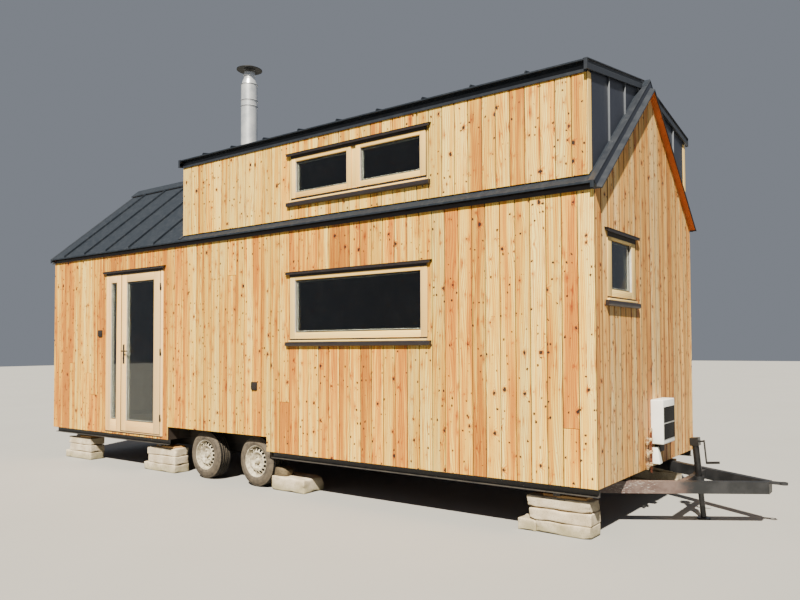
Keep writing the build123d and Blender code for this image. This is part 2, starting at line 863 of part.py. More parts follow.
# Axles: a tube under the main rails, with an arm beside each rail
wheel_x = {"rear": gable_x - rear_wheel_from_gable,
           "fore": gable_x - rear_wheel_from_gable + wheel_spacing}
wheel_out_y = half_width - tyre_inset
disc_in_y = wheel_out_y - rim_disc_inset - rim_disc_thickness
with BuildPart() as axles:
    for x in wheel_x.values():
        with BuildSketch(Plane.XZ.offset(-disc_in_y + seat_gap)):
            with Locations((x, axle_z)):
                Circle(axle_radius)
        extrude(amount=2 * (disc_in_y - seat_gap))
        for side in (front, back):
            block((x - axle_arm_length / 2, x + axle_arm_length / 2),
                  (side * (main_rail_y - axle_arm_inset - axle_arm_width),
                   side * (main_rail_y - axle_arm_inset)),
                  (axle_z, rail_z[0]))
save(axles.part, "axles")

# Wheels on four stub ends: tyre and rim turned about the axle's line


def wheel_plane(x, side):
    """A plane through the axle's line, with its own x running outwards."""
    return Plane(origin=(x, 0, axle_z), x_dir=(0, side, 0), z_dir=(side, 0, 0))


def wheel_axis(x):
    """The line that a wheel turns about."""
    return Axis((x, 0, axle_z), (0, 1, 0))


tyre_in_y = wheel_out_y - tyre_width
rim_seat_radius = rim_radius - rim_lip
tyre_inner_radius = rim_seat_radius + seat_gap
for axle_name, x in wheel_x.items():
    for side, side_name in ((front, "front"), (back, "back")):
        with BuildPart() as tyre:
            with BuildSketch(wheel_plane(x, side)):
                with BuildLine():
                    Polyline(
                        (tyre_in_y + tyre_bead, tyre_inner_radius),
                        (tyre_in_y, rim_radius + tyre_bead),
                        (tyre_in_y, tyre_radius - tyre_shoulder),
                        (tyre_in_y + tyre_shoulder, tyre_radius),
                        (wheel_out_y - tyre_shoulder, tyre_radius),
                        (wheel_out_y, tyre_radius - tyre_shoulder),
                        (wheel_out_y, rim_radius + tyre_bead),
                        (wheel_out_y - tyre_bead, tyre_inner_radius),
                        close=True,
                    )
                make_face()
            revolve(axis=wheel_axis(x))
        save(tyre.part, f"tyre_{axle_name}_{side_name}")
        with BuildPart() as rim:
            barrel_in_radius = rim_seat_radius - rim_barrel
            disc_out_y = wheel_out_y - rim_disc_inset
            with BuildSketch(wheel_plane(x, side)):
                with BuildLine():
                    Polyline(
                        (tyre_in_y + tyre_bead, rim_seat_radius),
                        (wheel_out_y - tyre_bead, rim_seat_radius),
                        (wheel_out_y - tyre_bead, barrel_in_radius),
                        (disc_out_y, barrel_in_radius),
                        (disc_out_y, hub_radius),
                        (disc_out_y + hub_reach, hub_radius),
                        (disc_out_y + hub_reach, 0),
                        (disc_in_y, 0),
                        (disc_in_y, barrel_in_radius),
                        (tyre_in_y + tyre_bead, barrel_in_radius),
                        close=True,
                    )
                make_face()
            revolve(axis=wheel_axis(x))
        save(rim.part, f"rim_{axle_name}_{side_name}")

# Drawbar: two beams that run from the main rails to the coupling
drawbar_top_z = base_z - drawbar_drop
drawbar_z = (drawbar_top_z - drawbar_beam_depth, drawbar_top_z)
centre_gap = beam_joint / 2
beam_meet_x = drawbar_tip_x + (drawbar_tip_half - centre_gap) / beam_slope - beam_cover
with BuildPart() as drawbar_beams:
    for side in (front, back):
        prism_z([(beam_root_x - beam_cover, side * main_inner_y),
                 (beam_root_x, side * main_inner_y),
                 (drawbar_tip_x, side * drawbar_tip_half),
                 (drawbar_tip_x, side * centre_gap),
                 (beam_meet_x, side * centre_gap)], *drawbar_z)
save(drawbar_beams.part, "drawbar_beams")

# Coupling: an end plate, a tongue and the towing eye
end_plate_x = drawbar_tip_x + end_plate_thickness
eye_x = gable_x + eye_reach - eye_radius
tongue_z = (drawbar_top_z - tongue_thickness, drawbar_top_z)
with BuildPart() as towing_eye:
    block((drawbar_tip_x, end_plate_x), (-drawbar_tip_half, drawbar_tip_half), drawbar_z)
    block((end_plate_x, eye_x), (-tongue_width / 2, tongue_width / 2), tongue_z)
    with BuildSketch(Plane.XY.offset(tongue_z[0])):
        with Locations((eye_x, 0)):
            Circle(eye_radius)
    extrude(amount=tongue_thickness)
    with Locations((eye_x, 0, drawbar_top_z)):
        Hole(eye_bore_radius, depth=tongue_thickness)
save(towing_eye.part, "towing_eye")

# Jack: it leans back towards the house, so its pieces are drawn on a tilted plane
lean = math.radians(jack_tilt)
jack_up = Vector(-math.sin(lean), 0, math.cos(lean))
jack_across = Vector(math.cos(lean), 0, math.sin(lean))
jack_foot_x = gable_x + jack_from_gable


def jack_plane(height):
    """A plane square to the jack, where its centre line reaches a height."""
    return Plane(origin=(jack_foot_x - height * math.tan(lean), 0, height),
                 x_dir=jack_across, z_dir=jack_up)


jack_tube_length = (jack_tube_high - jack_tube_low) / math.cos(lean)
jack_bore_radius = jack_tube_radius - jack_tube_wall
head_half = jack_head_size / 2
crank_height = jack_tube_high + jack_head_height / 2 * math.cos(lean)
crank_centre = jack_plane(crank_height).origin
head_face = crank_centre + jack_across * head_half
crank_plane = Plane(origin=head_face, x_dir=(0, 1, 0), z_dir=jack_across)
with BuildPart() as jack_tube:
    with BuildSketch(jack_plane(jack_tube_low)):
        Circle(jack_tube_radius)
        Circle(jack_bore_radius, mode=Mode.SUBTRACT)
    extrude(amount=jack_tube_length)
    with BuildSketch(jack_plane(jack_tube_high)):
        Rectangle(jack_head_size, jack_head_size)
    extrude(amount=jack_head_height)
    with BuildSketch(crank_plane):
        Circle(crank_shaft_radius + crank_shaft_fit)
    extrude(amount=-crank_bore_depth, mode=Mode.SUBTRACT)
save(jack_tube.part, "jack_tube")

with BuildPart() as jack_leg:
    with BuildSketch(jack_plane(jack_foot_thickness / 2)):
        Circle(jack_bore_radius - seat_gap)
    extrude(amount=(jack_leg_top - jack_foot_thickness / 2) / math.cos(lean))
    with BuildSketch(Plane.XY):
        with Locations((jack_foot_x, 0)):
            Circle(jack_foot_radius)
    extrude(amount=jack_foot_thickness)
    split(bisect_by=Plane.XY, keep=Keep.TOP)
save(jack_leg.part, "jack_leg")

with BuildPart() as jack_crank:
    with BuildSketch(crank_plane.offset(seat_gap - crank_bore_depth)):
        Circle(crank_shaft_radius)
    extrude(amount=crank_bore_depth + crank_shaft_length - crank_arm_thickness)
    with BuildSketch(crank_plane.offset(crank_shaft_length - crank_arm_thickness)):
        with Locations((0, -crank_arm_length / 2)):
            SlotOverall(crank_arm_length + crank_arm_width, crank_arm_width, rotation=90)
    extrude(amount=crank_arm_thickness)
    with BuildSketch(crank_plane.offset(crank_shaft_length)):
        with Locations((0, -crank_arm_length)):
            Circle(crank_grip_radius)
    extrude(amount=crank_grip_length)
save(jack_crank.part, "jack_crank")

# Crossbar between the drawbar beams, with the collar that holds the jack
collar_radius = jack_tube_radius + clamp_wall
crossbar_mid_z = (drawbar_z[0] + drawbar_z[1]) / 2
collar_x = jack_plane(crossbar_mid_z).origin.X
crossbar_front_x = collar_x - jack_tube_radius - clamp_wall / 2
crossbar_back_x = crossbar_front_x - crossbar_width


def beam_inner_y(x):
    """Half the clear width between the drawbar beams."""
    return (beam_meet_x - x) * beam_slope + centre_gap


with BuildPart() as jack_crossbar:
    prism_z([(crossbar_back_x, -beam_inner_y(crossbar_back_x)),
             (crossbar_front_x, -beam_inner_y(crossbar_front_x)),
             (crossbar_front_x, beam_inner_y(crossbar_front_x)),
             (crossbar_back_x, beam_inner_y(crossbar_back_x))],
            crossbar_mid_z - crossbar_depth / 2, crossbar_mid_z + crossbar_depth / 2)
    with BuildSketch(jack_plane(crossbar_mid_z - clamp_height / 2)):
        Circle(collar_radius)
    extrude(amount=clamp_height)
    with BuildSketch(jack_plane(jack_tube_low)):
        Circle(jack_tube_radius)
    extrude(amount=jack_tube_length, mode=Mode.SUBTRACT)
save(jack_crossbar.part, "jack_crossbar")

# Flue: skirt on the dormer roof, insulated pipe, neck and rain cap
with BuildPart() as flue_pipe:
    pipe_low_z = dormer_eave_z - dormer_roof_drop
    with BuildSketch(Plane.XY.offset(pipe_low_z)):
        with Locations((flue_x, flue_y)):
            Circle(flue_radius)
            Circle(flue_radius - flue_wall, mode=Mode.SUBTRACT)
    extrude(amount=base_z + flue_height - pipe_low_z)
    with BuildSketch(Plane.XY.offset(base_z + flue_height)):
        with Locations((flue_x, flue_y)):
            Circle(flue_radius)
            Circle(flue_neck_radius - flue_cap_thickness, mode=Mode.SUBTRACT)
    extrude(amount=flue_cap_thickness)
save(flue_pipe.part, "flue_pipe")

cap_foot_z = base_z + flue_height + flue_cap_thickness
cap_brim_z = cap_foot_z + flue_neck_height
flue_line = Axis((flue_x, flue_y, 0), (0, 0, 1))
with BuildPart() as flue_cap:
    with BuildSketch(Plane(origin=(flue_x, flue_y, 0), x_dir=(1, 0, 0), z_dir=(0, -1, 0))):
        with BuildLine():
            Polyline(
                (flue_neck_radius - flue_cap_thickness, cap_foot_z),
                (flue_neck_radius, cap_foot_z),
                (flue_neck_radius, cap_brim_z),
                (flue_cap_radius, cap_brim_z),
                (flue_cap_radius, cap_brim_z + flue_cap_thickness),
                (0, cap_brim_z + flue_cap_rise),
                (0, cap_brim_z + flue_cap_rise - flue_cap_thickness),
                (flue_neck_radius - flue_cap_thickness, cap_brim_z + flue_cap_thickness),
                close=True,
            )
        make_face()
    revolve(axis=flue_line)
save(flue_cap.part, "flue_cap")

# Heater unit on the hitch gable, with its grille and junction box
unit_y = (unit_from_front - half_width, unit_from_front - half_width + unit_width)
unit_z = (base_z + unit_foot, base_z + unit_foot + unit_height)
unit_x = gable_x + unit_depth
with BuildPart() as heater_unit:
    block((gable_x, unit_x), unit_y, unit_z)
    fillet(heater_unit.edges().filter_by(Axis.Z).group_by(Axis.X)[-1], radius=unit_corner)
    junction_y = (unit_y[0] + unit_corner, unit_y[0] + unit_corner + junction_width)
    block((gable_x, gable_x + junction_depth), junction_y,
          (base_z + junction_foot, unit_z[0]))
save(heater_unit.part, "heater_unit")

grille_margin = (unit_width - grille_width) / 2
with BuildPart() as heater_grille:
    block((unit_x, unit_x + grille_thickness),
          (unit_y[0] + grille_margin, unit_y[1] - grille_margin),
          (unit_z[0] + grille_rise, unit_z[0] + grille_rise + grille_height))
save(heater_grille.part, "heater_grille")

# Valve manifold beside it: a riser on stand-off arms
manifold_y = manifold_from_front - half_width
manifold_z = base_z + manifold_foot
manifold_x = gable_x + manifold_reach
with BuildPart() as valve_manifold:
    with BuildSketch(Plane.XY.offset(manifold_z)):
        with Locations((manifold_x, manifold_y)):
            Circle(manifold_pipe_radius)
    extrude(amount=manifold_height)
    for index in range(manifold_arm_count):
        arm_z = base_z + manifold_arm_length / 2 + index * manifold_arm_pitch
        with BuildSketch(Plane.XZ.offset(-manifold_y)):
            with Locations((manifold_x, arm_z)):
                Circle(manifold_back_radius)
        extrude(amount=manifold_arm_length)
        with BuildSketch(Plane.YZ.offset(gable_x)):
            with Locations((manifold_y, arm_z)):
                Circle(manifold_back_radius)
        extrude(amount=manifold_reach)
save(valve_manifold.part, "valve_manifold")

# Two small boxes on the front wall
with BuildPart() as wall_boxes:
    for distance, height in ((low_box_from_gable, low_box_height),
                             (high_box_from_gable, high_box_height)):
        x = gable_x - distance
        z = base_z + height
        block((x - wall_box_size / 2, x + wall_box_size / 2),
              (-half_width, -half_width - wall_box_depth),
              (z - wall_box_size / 2, z + wall_box_size / 2))
save(wall_boxes.part, "wall_boxes")

# Block piers under the side of the chassis, each with a timber shim on top
pier_y = half_width - pier_inset
pier_top_z = block_height * block_courses
with BuildPart() as block_piers:
    for x in pier_x:
        for side in (front, back):
            block((x - block_length / 2, x + block_length / 2),
                  (side * pier_y, side * (pier_y - block_width)), (0, pier_top_z))
            block((x - block_length / 2 - foot_course_slip, x + block_length / 2),
                  (side * pier_y, side * (pier_y - block_width)), (0, block_height))
save(block_piers.part, "block_piers")

shim_y = pier_y - (block_width - shim_width) / 2
with BuildPart() as pier_shims:
    for x in pier_x:
        for side in (front, back):
            block((x - shim_length / 2, x + shim_length / 2),
                  (side * shim_y, side * (shim_y - shim_width)), (pier_top_z, rail_z[0]))
save(pier_shims.part, "pier_shims")

# Chock blocks on the ground, against the hitch side of the fore tyres
chock_rise = axle_z - chock_height
chock_x = wheel_x["fore"] + math.sqrt((tyre_radius + chock_gap) ** 2 - chock_rise ** 2)
chock_y = half_width - chock_inset
with BuildPart() as wheel_chocks:
    for side in (front, back):
        block((chock_x, chock_x + chock_length),
              (side * chock_y, side * (chock_y - chock_width)), (0, chock_height))
save(wheel_chocks.part, "wheel_chocks")
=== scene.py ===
import math
import random

import bmesh
import bpy
from mathutils import Matrix, Vector, noise


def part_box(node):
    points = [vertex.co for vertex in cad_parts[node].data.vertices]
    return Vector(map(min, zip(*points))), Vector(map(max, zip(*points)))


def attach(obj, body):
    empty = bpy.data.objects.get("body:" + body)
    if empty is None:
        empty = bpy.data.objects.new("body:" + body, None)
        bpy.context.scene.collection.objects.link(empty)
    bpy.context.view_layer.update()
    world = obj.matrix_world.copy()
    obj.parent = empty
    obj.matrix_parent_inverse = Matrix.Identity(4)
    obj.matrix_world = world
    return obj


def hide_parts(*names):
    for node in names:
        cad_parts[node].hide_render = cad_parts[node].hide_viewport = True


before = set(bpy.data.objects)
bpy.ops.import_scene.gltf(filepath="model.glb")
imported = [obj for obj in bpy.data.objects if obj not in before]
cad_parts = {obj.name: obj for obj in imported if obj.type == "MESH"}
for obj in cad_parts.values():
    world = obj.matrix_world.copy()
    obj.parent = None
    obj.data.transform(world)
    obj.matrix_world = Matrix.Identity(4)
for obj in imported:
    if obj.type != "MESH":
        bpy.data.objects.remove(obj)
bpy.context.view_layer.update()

# Places on the house, in metres
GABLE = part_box("gable_wall_hitch")[1].x
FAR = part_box("gable_wall_far")[0].x
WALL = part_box("back_wall")[1].y
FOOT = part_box("back_wall")[0].z
EAVE_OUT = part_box("eave_strips")[1].y
EAVE_TOP = FOOT + 2.4
MAIN_SLOPE = math.tan(math.radians(41.8))
RIDGE_TOP = EAVE_TOP + EAVE_OUT * MAIN_SLOPE
DORMER_EAVE = FOOT + 3.37
DORMER_SLOPE = (RIDGE_TOP - DORMER_EAVE) / EAVE_OUT
DORMER_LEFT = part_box("dormer_wall_front")[0].x
DORMER_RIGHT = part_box("dormer_wall_front")[1].x
BOTH_SIDES = (-1, 1)
DORMER_ENDS = ((DORMER_LEFT, -1), (DORMER_RIGHT, 1))

# Openings: low x, high x, low z, high z
LOW_WINDOW = (GABLE - 3.424, GABLE - 1.623, FOOT + 1.206, FOOT + 1.884)
HIGH_WINDOW = (GABLE - 3.414, GABLE - 1.625, FOOT + 2.674, FOOT + 3.136)
GABLE_WINDOW = (-1.04, -0.41, FOOT + 1.517, FOOT + 2.045)
ARCH = (GABLE - 5.578, GABLE - 3.795, FOOT - 0.1, FOOT + 0.152)
DOOR, DOOR_LEAF, LEAF_PANE = [(low.x, high.x, low.z, high.z) for low, high in
                              map(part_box, ("door_frame", "door_leaf", "door_pane"))]


def main_roof(y):
    """Height of the main roof over a point across the house."""
    return EAVE_TOP + (EAVE_OUT - abs(y)) * MAIN_SLOPE


def dormer_roof(y):
    """Height of a dormer roof over a point across the house."""
    return DORMER_EAVE + (EAVE_OUT - abs(y)) * DORMER_SLOPE


def at(x, y, z):
    """A shift."""
    return Matrix.Translation((x, y, z))


def turn(angle, axis):
    """A turn about an axis."""
    return Matrix.Rotation(angle, 4, axis)


def wall_place(facing):
    """Puts what is drawn on the plane y = 0, facing -y, on one of the four walls."""
    angle, shift = {"front": (0, (0, -WALL, 0)), "back": (math.pi, (0, WALL, 0)),
                    "hitch": (math.pi / 2, (GABLE, 0, 0)), "far": (-math.pi / 2, (FAR, 0, 0))}[facing]
    return at(*shift) @ turn(angle, "Z")


def slope_place(side, edge_z, slope):
    """Axes of a roof slope: along the house, up the slope and out of it, from its eave edge."""
    pitch = math.atan(slope)
    along = Vector((-side, 0, 0))
    upslope = Vector((0, -side * math.cos(pitch), math.sin(pitch)))
    axes = Matrix((along, upslope, along.cross(upslope))).transposed().to_4x4()
    return at(0, side * EAVE_OUT, edge_z) @ axes


# What bmesh operators are often asked for


def verts_in(items):
    """The corners among what an operator returns."""
    return [item for item in items if isinstance(item, bmesh.types.BMVert)]


def edges_in(items):
    """The edges among what an operator returns."""
    return [item for item in items if isinstance(item, bmesh.types.BMEdge)]


def flat_radius(vert):
    """How far a corner is from the z axis."""
    return vert.co.to_2d().length


def face_outward(part):
    """Turns every face of a closed part outward."""
    bmesh.ops.recalc_face_normals(part, faces=part.faces[:])


def ease_edges(part, edges, offset, segments=1):
    """Chamfers edges, or rounds them with two segments or more."""
    bmesh.ops.bevel(part, geom=edges, offset=offset, affect="EDGES", segments=segments,
                    profile=0.5, material=-1, clamp_overlap=True)


def draw_out(part, faces, way):
    """Draws faces out along a vector into closed bodies."""
    made = bmesh.ops.extrude_face_region(part, geom=faces, use_keep_orig=True)["geom"]
    bmesh.ops.translate(part, vec=way, verts=verts_in(made))
    face_outward(part)


def thicken(part, gauge):
    """Makes sheet of an open surface."""
    face_outward(part)
    bmesh.ops.solidify(part, geom=part.faces[:], thickness=gauge)
    face_outward(part)


def cut(part, point, normal, geom=None, **clearing):
    """Cuts a part, or some of it, by a plane."""
    if geom is None:
        geom = part.faces[:] + part.edges[:] + part.verts[:]
    return bmesh.ops.bisect_plane(part, geom=geom, dist=1e-6, plane_co=point, plane_no=normal,
                                  **clearing)["geom_cut"]


# Parts, each in a bmesh of its own
SHEET_GAUGE = 0.002


def box_corners(first, second):
    """The lowest and the highest corner of a box, from two that are opposite."""
    return [Vector([pick(pair) for pair in zip(first, second)]) for pick in (min, max)]


def block(first, second, ease=0.0, segments=2):
    """A block between two corners, with its edges eased."""
    low, high = box_corners(first, second)
    part = bmesh.new()
    bmesh.ops.create_cube(part, size=1.0, matrix=Matrix.Translation((low + high) / 2)
                          @ Matrix.Diagonal((*(high - low), 1.0)))
    if ease:
        ease_edges(part, part.edges[:], ease, segments)
    return part


def turned(profile, steps=32):
    """A profile of radius and height, spun about the z axis."""
    part = bmesh.new()
    verts = [part.verts.new((radius, 0, height)) for radius, height in profile]
    for pair in zip(verts, verts[1:]):
        part.edges.new(pair)
    bmesh.ops.spin(part, geom=part.verts[:] + part.edges[:], axis=(0, 0, 1), cent=(0, 0, 0),
                   angle=2 * math.pi, steps=steps, use_merge=True)
    bmesh.ops.remove_doubles(part, verts=part.verts[:], dist=1e-5)
    face_outward(part)
    return part


def prism(outline, x_start, x_end, ease=0.0):
    """An outline in y and z, drawn out along x."""
    part = bmesh.new()
    face = part.faces.new([part.verts.new((x_start, y, z)) for y, z in outline])
    draw_out(part, [face], (x_end - x_start, 0, 0))
    if ease:
        ease_edges(part, part.edges[:], ease)
    return part


def folded_sheet(fold, x_low, x_high):
    """Sheet 2 mm thick, bent along x, from the points of its fold in y and z."""
    part = bmesh.new()
    verts = [part.verts.new((x_low, y, z)) for y, z in fold]
    edges = [part.edges.new(pair) for pair in zip(verts, verts[1:])]
    made = bmesh.ops.extrude_edge_only(part, edges=edges)["geom"]
    bmesh.ops.translate(part, vec=(x_high - x_low, 0, 0), verts=verts_in(made))
    thicken(part, SHEET_GAUGE)
    return part


def bent_rod(points, radius):
    """A round rod along a line of points."""
    line = bpy.data.curves.new("rod_line", "CURVE")
    line.dimensions = "3D"
    line.bevel_depth = radius
    line.bevel_resolution = 4
    line.use_fill_caps = True
    spline = line.splines.new("POLY")
    spline.points.add(len(points) - 1)
    for point, place in zip(spline.points, points):
        point.co = (*place, 1.0)
    holder = bpy.data.objects.new("rod_line", line)
    mesh = bpy.data.meshes.new_from_object(holder)
    part = bmesh.new()
    part.from_mesh(mesh)
    bpy.data.meshes.remove(mesh)
    bpy.data.objects.remove(holder)
    bpy.data.curves.remove(line)
    bmesh.ops.remove_doubles(part, verts=part.verts[:], dist=1e-5)
    face_outward(part)
    return part


def show(name, data):
    """Puts data in the scene as an object."""
    made = bpy.data.objects.new(name, data)
    bpy.context.scene.collection.objects.link(made)
    return made


class Piece:
    """A piece of the scene, put together from parts."""

    def __init__(self, name, material, body="root", hides=None):
        self.name, self.material, self.body = name, material, body
        self.hides = [hides] if hides else []
        self.whole = bmesh.new()

    def add(self, part, place=None, stick=None, along=(0, 0, 1)):
        """Takes a part in. A stick of timber gets its own tone and the way its grain runs."""
        if stick is not None:
            for label, value in (("board", stick), ("along", along)):
                layer = part.verts.layers.float_vector.new(label)
                for vert in part.verts:
                    vert[layer] = value
        if place is not None:
            part.transform(place)
        mesh = bpy.data.meshes.new("part")
        part.to_mesh(mesh)
        part.free()
        self.whole.from_mesh(mesh)
        bpy.data.meshes.remove(mesh)
        return self

    def done(self, smooth=None):
        """Makes the object. Faces that meet below an angle in degrees are shaded smooth."""
        mesh = bpy.data.meshes.new(self.name)
        self.whole.to_mesh(mesh)
        self.whole.free()
        mesh.materials.append(self.material)
        if smooth:
            for polygon in mesh.polygons:
                polygon.use_smooth = True
            mesh.set_sharp_from_angle(angle=math.radians(smooth))
        made = show(self.name, mesh)
        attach(made, self.body)
        if self.hides:
            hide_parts(*self.hides)


# Nodes. A node goes into the tree of the sockets that feed it, where none is named


def screen(red, green, blue):
    """A colour as a screen shows it, 0 to 255, made linear."""
    return (*[((part / 255 + 0.055) / 1.055) ** 2.4 for part in (red, green, blue)], 1.0)


def is_socket(value):
    """Whether a value comes from another node."""
    return isinstance(value, bpy.types.NodeSocket)


def feed(sockets, values):
    """Links sockets to what feeds them, or gives them plain values."""
    for label, value in values.items():
        if is_socket(value):
            value.id_data.links.new(value, sockets[label])
        else:
            sockets[label].default_value = value


def node(kind, inputs, tree=None, **settings):
    """Adds a node, with its settings and what feeds its inputs."""
    tree = tree or next(value for value in inputs.values() if is_socket(value)).id_data
    made = tree.nodes.new(kind)
    for label, value in settings.items():
        setattr(made, label, value)
    feed(made.inputs, inputs)
    return made


def maths(operation, *values, clamp=False):
    """One sum on numbers."""
    return node("ShaderNodeMath", dict(enumerate(values)), operation=operation,
                use_clamp=clamp).outputs[0]


def times(first, second):
    """A product."""
    return maths("MULTIPLY", first, second)


def times_plus(first, second, third, clamp=False):
    """A product and a sum."""
    return maths("MULTIPLY_ADD", first, second, third, clamp=clamp)


def plus(first, second):
    """The sum of two vectors."""
    return node("ShaderNodeVectorMath", {0: first, 1: second}, operation="ADD").outputs[0]


def dot(first, second):
    """How far one vector runs along another."""
    return node("ShaderNodeVectorMath", {0: first, 1: second}, operation="DOT_PRODUCT").outputs["Value"]


def scaled(vector, amount):
    """A vector times a number."""
    return node("ShaderNodeVectorMath", {0: vector, "Scale": amount}, operation="SCALE").outputs[0]


def stretched(vector, *scales):
    """A vector times three numbers."""
    return node("ShaderNodeMapping", {"Vector": vector, "Scale": scales}).outputs[0]


def axis(vector, index):
    """One of a vector's three numbers."""
    return node("ShaderNodeSeparateXYZ", {0: vector}).outputs[index]


def blend(amount, first, second, way="MIX"):
    """Two colours mixed. Each is a socket, or red, green and blue as a screen shows them."""
    first, second = [colour if is_socket(colour) else screen(*colour) for colour in (first, second)]
    return node("ShaderNodeMix", {0: amount, 6: first, 7: second}, data_type="RGBA",
                blend_type=way).outputs[2]


def tint(colour, by):
    """A colour seen through another."""
    return blend(1.0, colour, by, "MULTIPLY")


def ramp(amount, tones):
    """Tones spread evenly along a scale from 0 to 1."""
    made = node("ShaderNodeValToRGB", {0: amount})
    elements = made.color_ramp.elements
    while len(elements) < len(tones):
        elements.new(0.5)
    for index, tone in enumerate(tones):
        elements[index].position = index / (len(tones) - 1)
        elements[index].color = screen(*tone)
    return made.outputs[0]


def fade(amount, low, high, out_low=0.0, out_high=1.0):
    """A number carried smoothly from one range to another."""
    return node("ShaderNodeMapRange", {0: amount, 1: low, 2: high, 3: out_low, 4: out_high},
                interpolation_type="SMOOTHSTEP").outputs[0]


def cloud(vector, scale, detail=3.0, rough=0.55, out=0):
    """Noise at a scale, in patches to the metre."""
    return node("ShaderNodeTexNoise", {"Vector": vector, "Scale": scale, "Detail": detail,
                                       "Roughness": rough}).outputs[out]


def cells(vector, scale=1.0, across="2D"):
    """Cells scattered over a plane or in space."""
    return node("ShaderNodeTexVoronoi", {"Vector": vector, "Scale": scale},
                voronoi_dimensions=across).outputs


def place_on(tree, output="Object"):
    """Object coordinates."""
    return node("ShaderNodeTexCoord", {}, tree).outputs[output]


def facing_up(tree):
    """How far a face looks up, from -1 to 1."""
    return axis(node("ShaderNodeNewGeometry", {}, tree).outputs["Normal"], 2)


def own_value(tree, name, output="Vector"):
    """A value that each stick of timber carries."""
    return node("ShaderNodeAttribute", {}, tree, attribute_name=name).outputs[output]


def new_finish(name):
    """A material with its shader."""
    made = bpy.data.materials.new(name)
    made.use_nodes = True
    return made, made.node_tree, made.node_tree.nodes["Principled BSDF"]


def dress(shader, colour, roughness, height=None, depth=0.001, **constants):
    """Feeds a shader its colour, roughness and relief."""
    inputs = {"Base Color": colour, "Roughness": roughness}
    inputs.update({label.replace("_", " "): value for label, value in constants.items()})
    if height is not None:
        inputs["Normal"] = node("ShaderNodeBump", {"Height": height, "Distance": depth,
                                                   "Strength": 1.0}).outputs[0]
    feed(shader.inputs, inputs)


# Shared effects


def new_group(name, inputs, outputs):
    """A shader group, what comes into it, and the sockets that take what it gives."""
    tree = bpy.data.node_groups.new(name, "ShaderNodeTree")
    for label, value in inputs.items():
        kind = "NodeSocketVector" if isinstance(value, tuple) else "NodeSocketFloat"
        socket = tree.interface.new_socket(name=label, in_out="INPUT", socket_type=kind)
        socket.default_value = value
    for label in outputs:
        tree.interface.new_socket(name=label, in_out="OUTPUT", socket_type="NodeSocketFloat")
    return tree, tree.nodes.new("NodeGroupInput").outputs, tree.nodes.new("NodeGroupOutput").inputs


def use_group(tree, group, inputs):
    """One of the shared groups, placed in a material."""
    made = tree.nodes.new("ShaderNodeGroup")
    made.node_tree = group
    feed(made.inputs, inputs)
    return made.outputs


def timber_grain_group():
    """Growth rings, fibres and knots that follow a stick of timber."""
    tree, taken, given = new_group(
        "timber grain",
        {"Along": (0, 0, 1), "Board": (0, 0, 0), "Ring Count": 55.0, "Knot Size": 0.075},
        ["Rings", "Fibres", "Knots", "Halo", "Heart", "Resin"])
    spot = place_on(tree)
    run = dot(spot, taken["Along"])
    lengthwise = scaled(taken["Along"], run)
    crosswise = node("ShaderNodeVectorMath", {0: spot, 1: lengthwise}, operation="SUBTRACT").outputs[0]
    shift = scaled(taken["Board"], 37.0)
    cross = dot(crosswise, (1, 1, 1))
    own = dot(taken["Board"], (13.7, 7.9, 29.3))
    # Knots, in cells longer than they are wide
    cell = node("ShaderNodeCombineXYZ", {0: times_plus(cross, 6.6, own),
                                         1: times_plus(run, 5.6, own)}).outputs[0]
    cell = plus(cell, scaled(cloud(spot, 42.0, 3.0, out=1), 0.16))
    knots = cells(cell)
    lot = fade(node("ShaderNodeSeparateColor", {0: knots["Color"]}).outputs[0], 0.3, 1.05)
    size = times(taken["Knot Size"], maths("POWER", lot, 2.2))
    ragged = times_plus(cloud(spot, 38.0, 4.0, 0.75), 0.17, -0.085)
    reach = maths("ADD", maths("SUBTRACT", size, knots["Distance"]), ragged)
    knotty = fade(taken["Knot Size"], 0.0, 0.1)
    # Pin knots, small and dark, between the large ones
    pins = cells(scaled(cell, 2.7))
    luck = node("ShaderNodeSeparateColor", {0: pins["Color"]}).outputs[1]
    pin = maths("ADD", maths("SUBTRACT", fade(luck, 0.72, 1.0, 0.0, 0.17), pins["Distance"]), ragged)
    for label, start, ends, share in (("Knots", -0.006, (0.018, 0.03), 1.0),
                                      ("Halo", -0.1, (0.0, 0.0), 0.6)):
        mask = maths("MAXIMUM", fade(reach, start, ends[0]), fade(pin, start, ends[1], 0.0, share))
        feed(given, {label: times(mask, knotty)})
    swirl = times(fade(knots["Distance"], 0.02, 0.34, 1.0, 0.0), times(size, 22.0))

    def streaky(across, lengthways, detail, rough=0.55, own_shift=1.0):
        """Noise drawn out along the stick, shifted from one stick to the next."""
        place = plus(scaled(crosswise, across), scaled(lengthwise, lengthways))
        own_place = shift if own_shift == 1.0 else scaled(shift, own_shift)
        return cloud(plus(place, own_place), 1.0, detail, rough)

    # Growth rings that drift along the stick and bend round the knots
    drift = streaky(4.0, 0.55, 2.0)
    phase = times_plus(cross, taken["Ring Count"], times_plus(drift, 13.0, swirl))
    wave = maths("SINE", times(phase, 2 * math.pi))
    # Sapwood and heartwood, in long bands a third of a board wide
    heart = streaky(15.0, 0.5, 2.5, 0.6, 1.7)
    # Dark streaks of resin, a hand long, most of them near a knot
    resin = maths("ADD", streaky(95.0, 2.2, 3.0, 0.65, 0.6),
                  fade(knots["Distance"], 0.05, 0.45, 0.09, 0.0))
    feed(given, {"Rings": fade(wave, -0.6, 1.0), "Fibres": streaky(170.0, 3.5, 4.0, 0.6),
                 "Heart": fade(heart, 0.32, 0.68), "Resin": fade(resin, 0.57, 0.7)})
    return tree


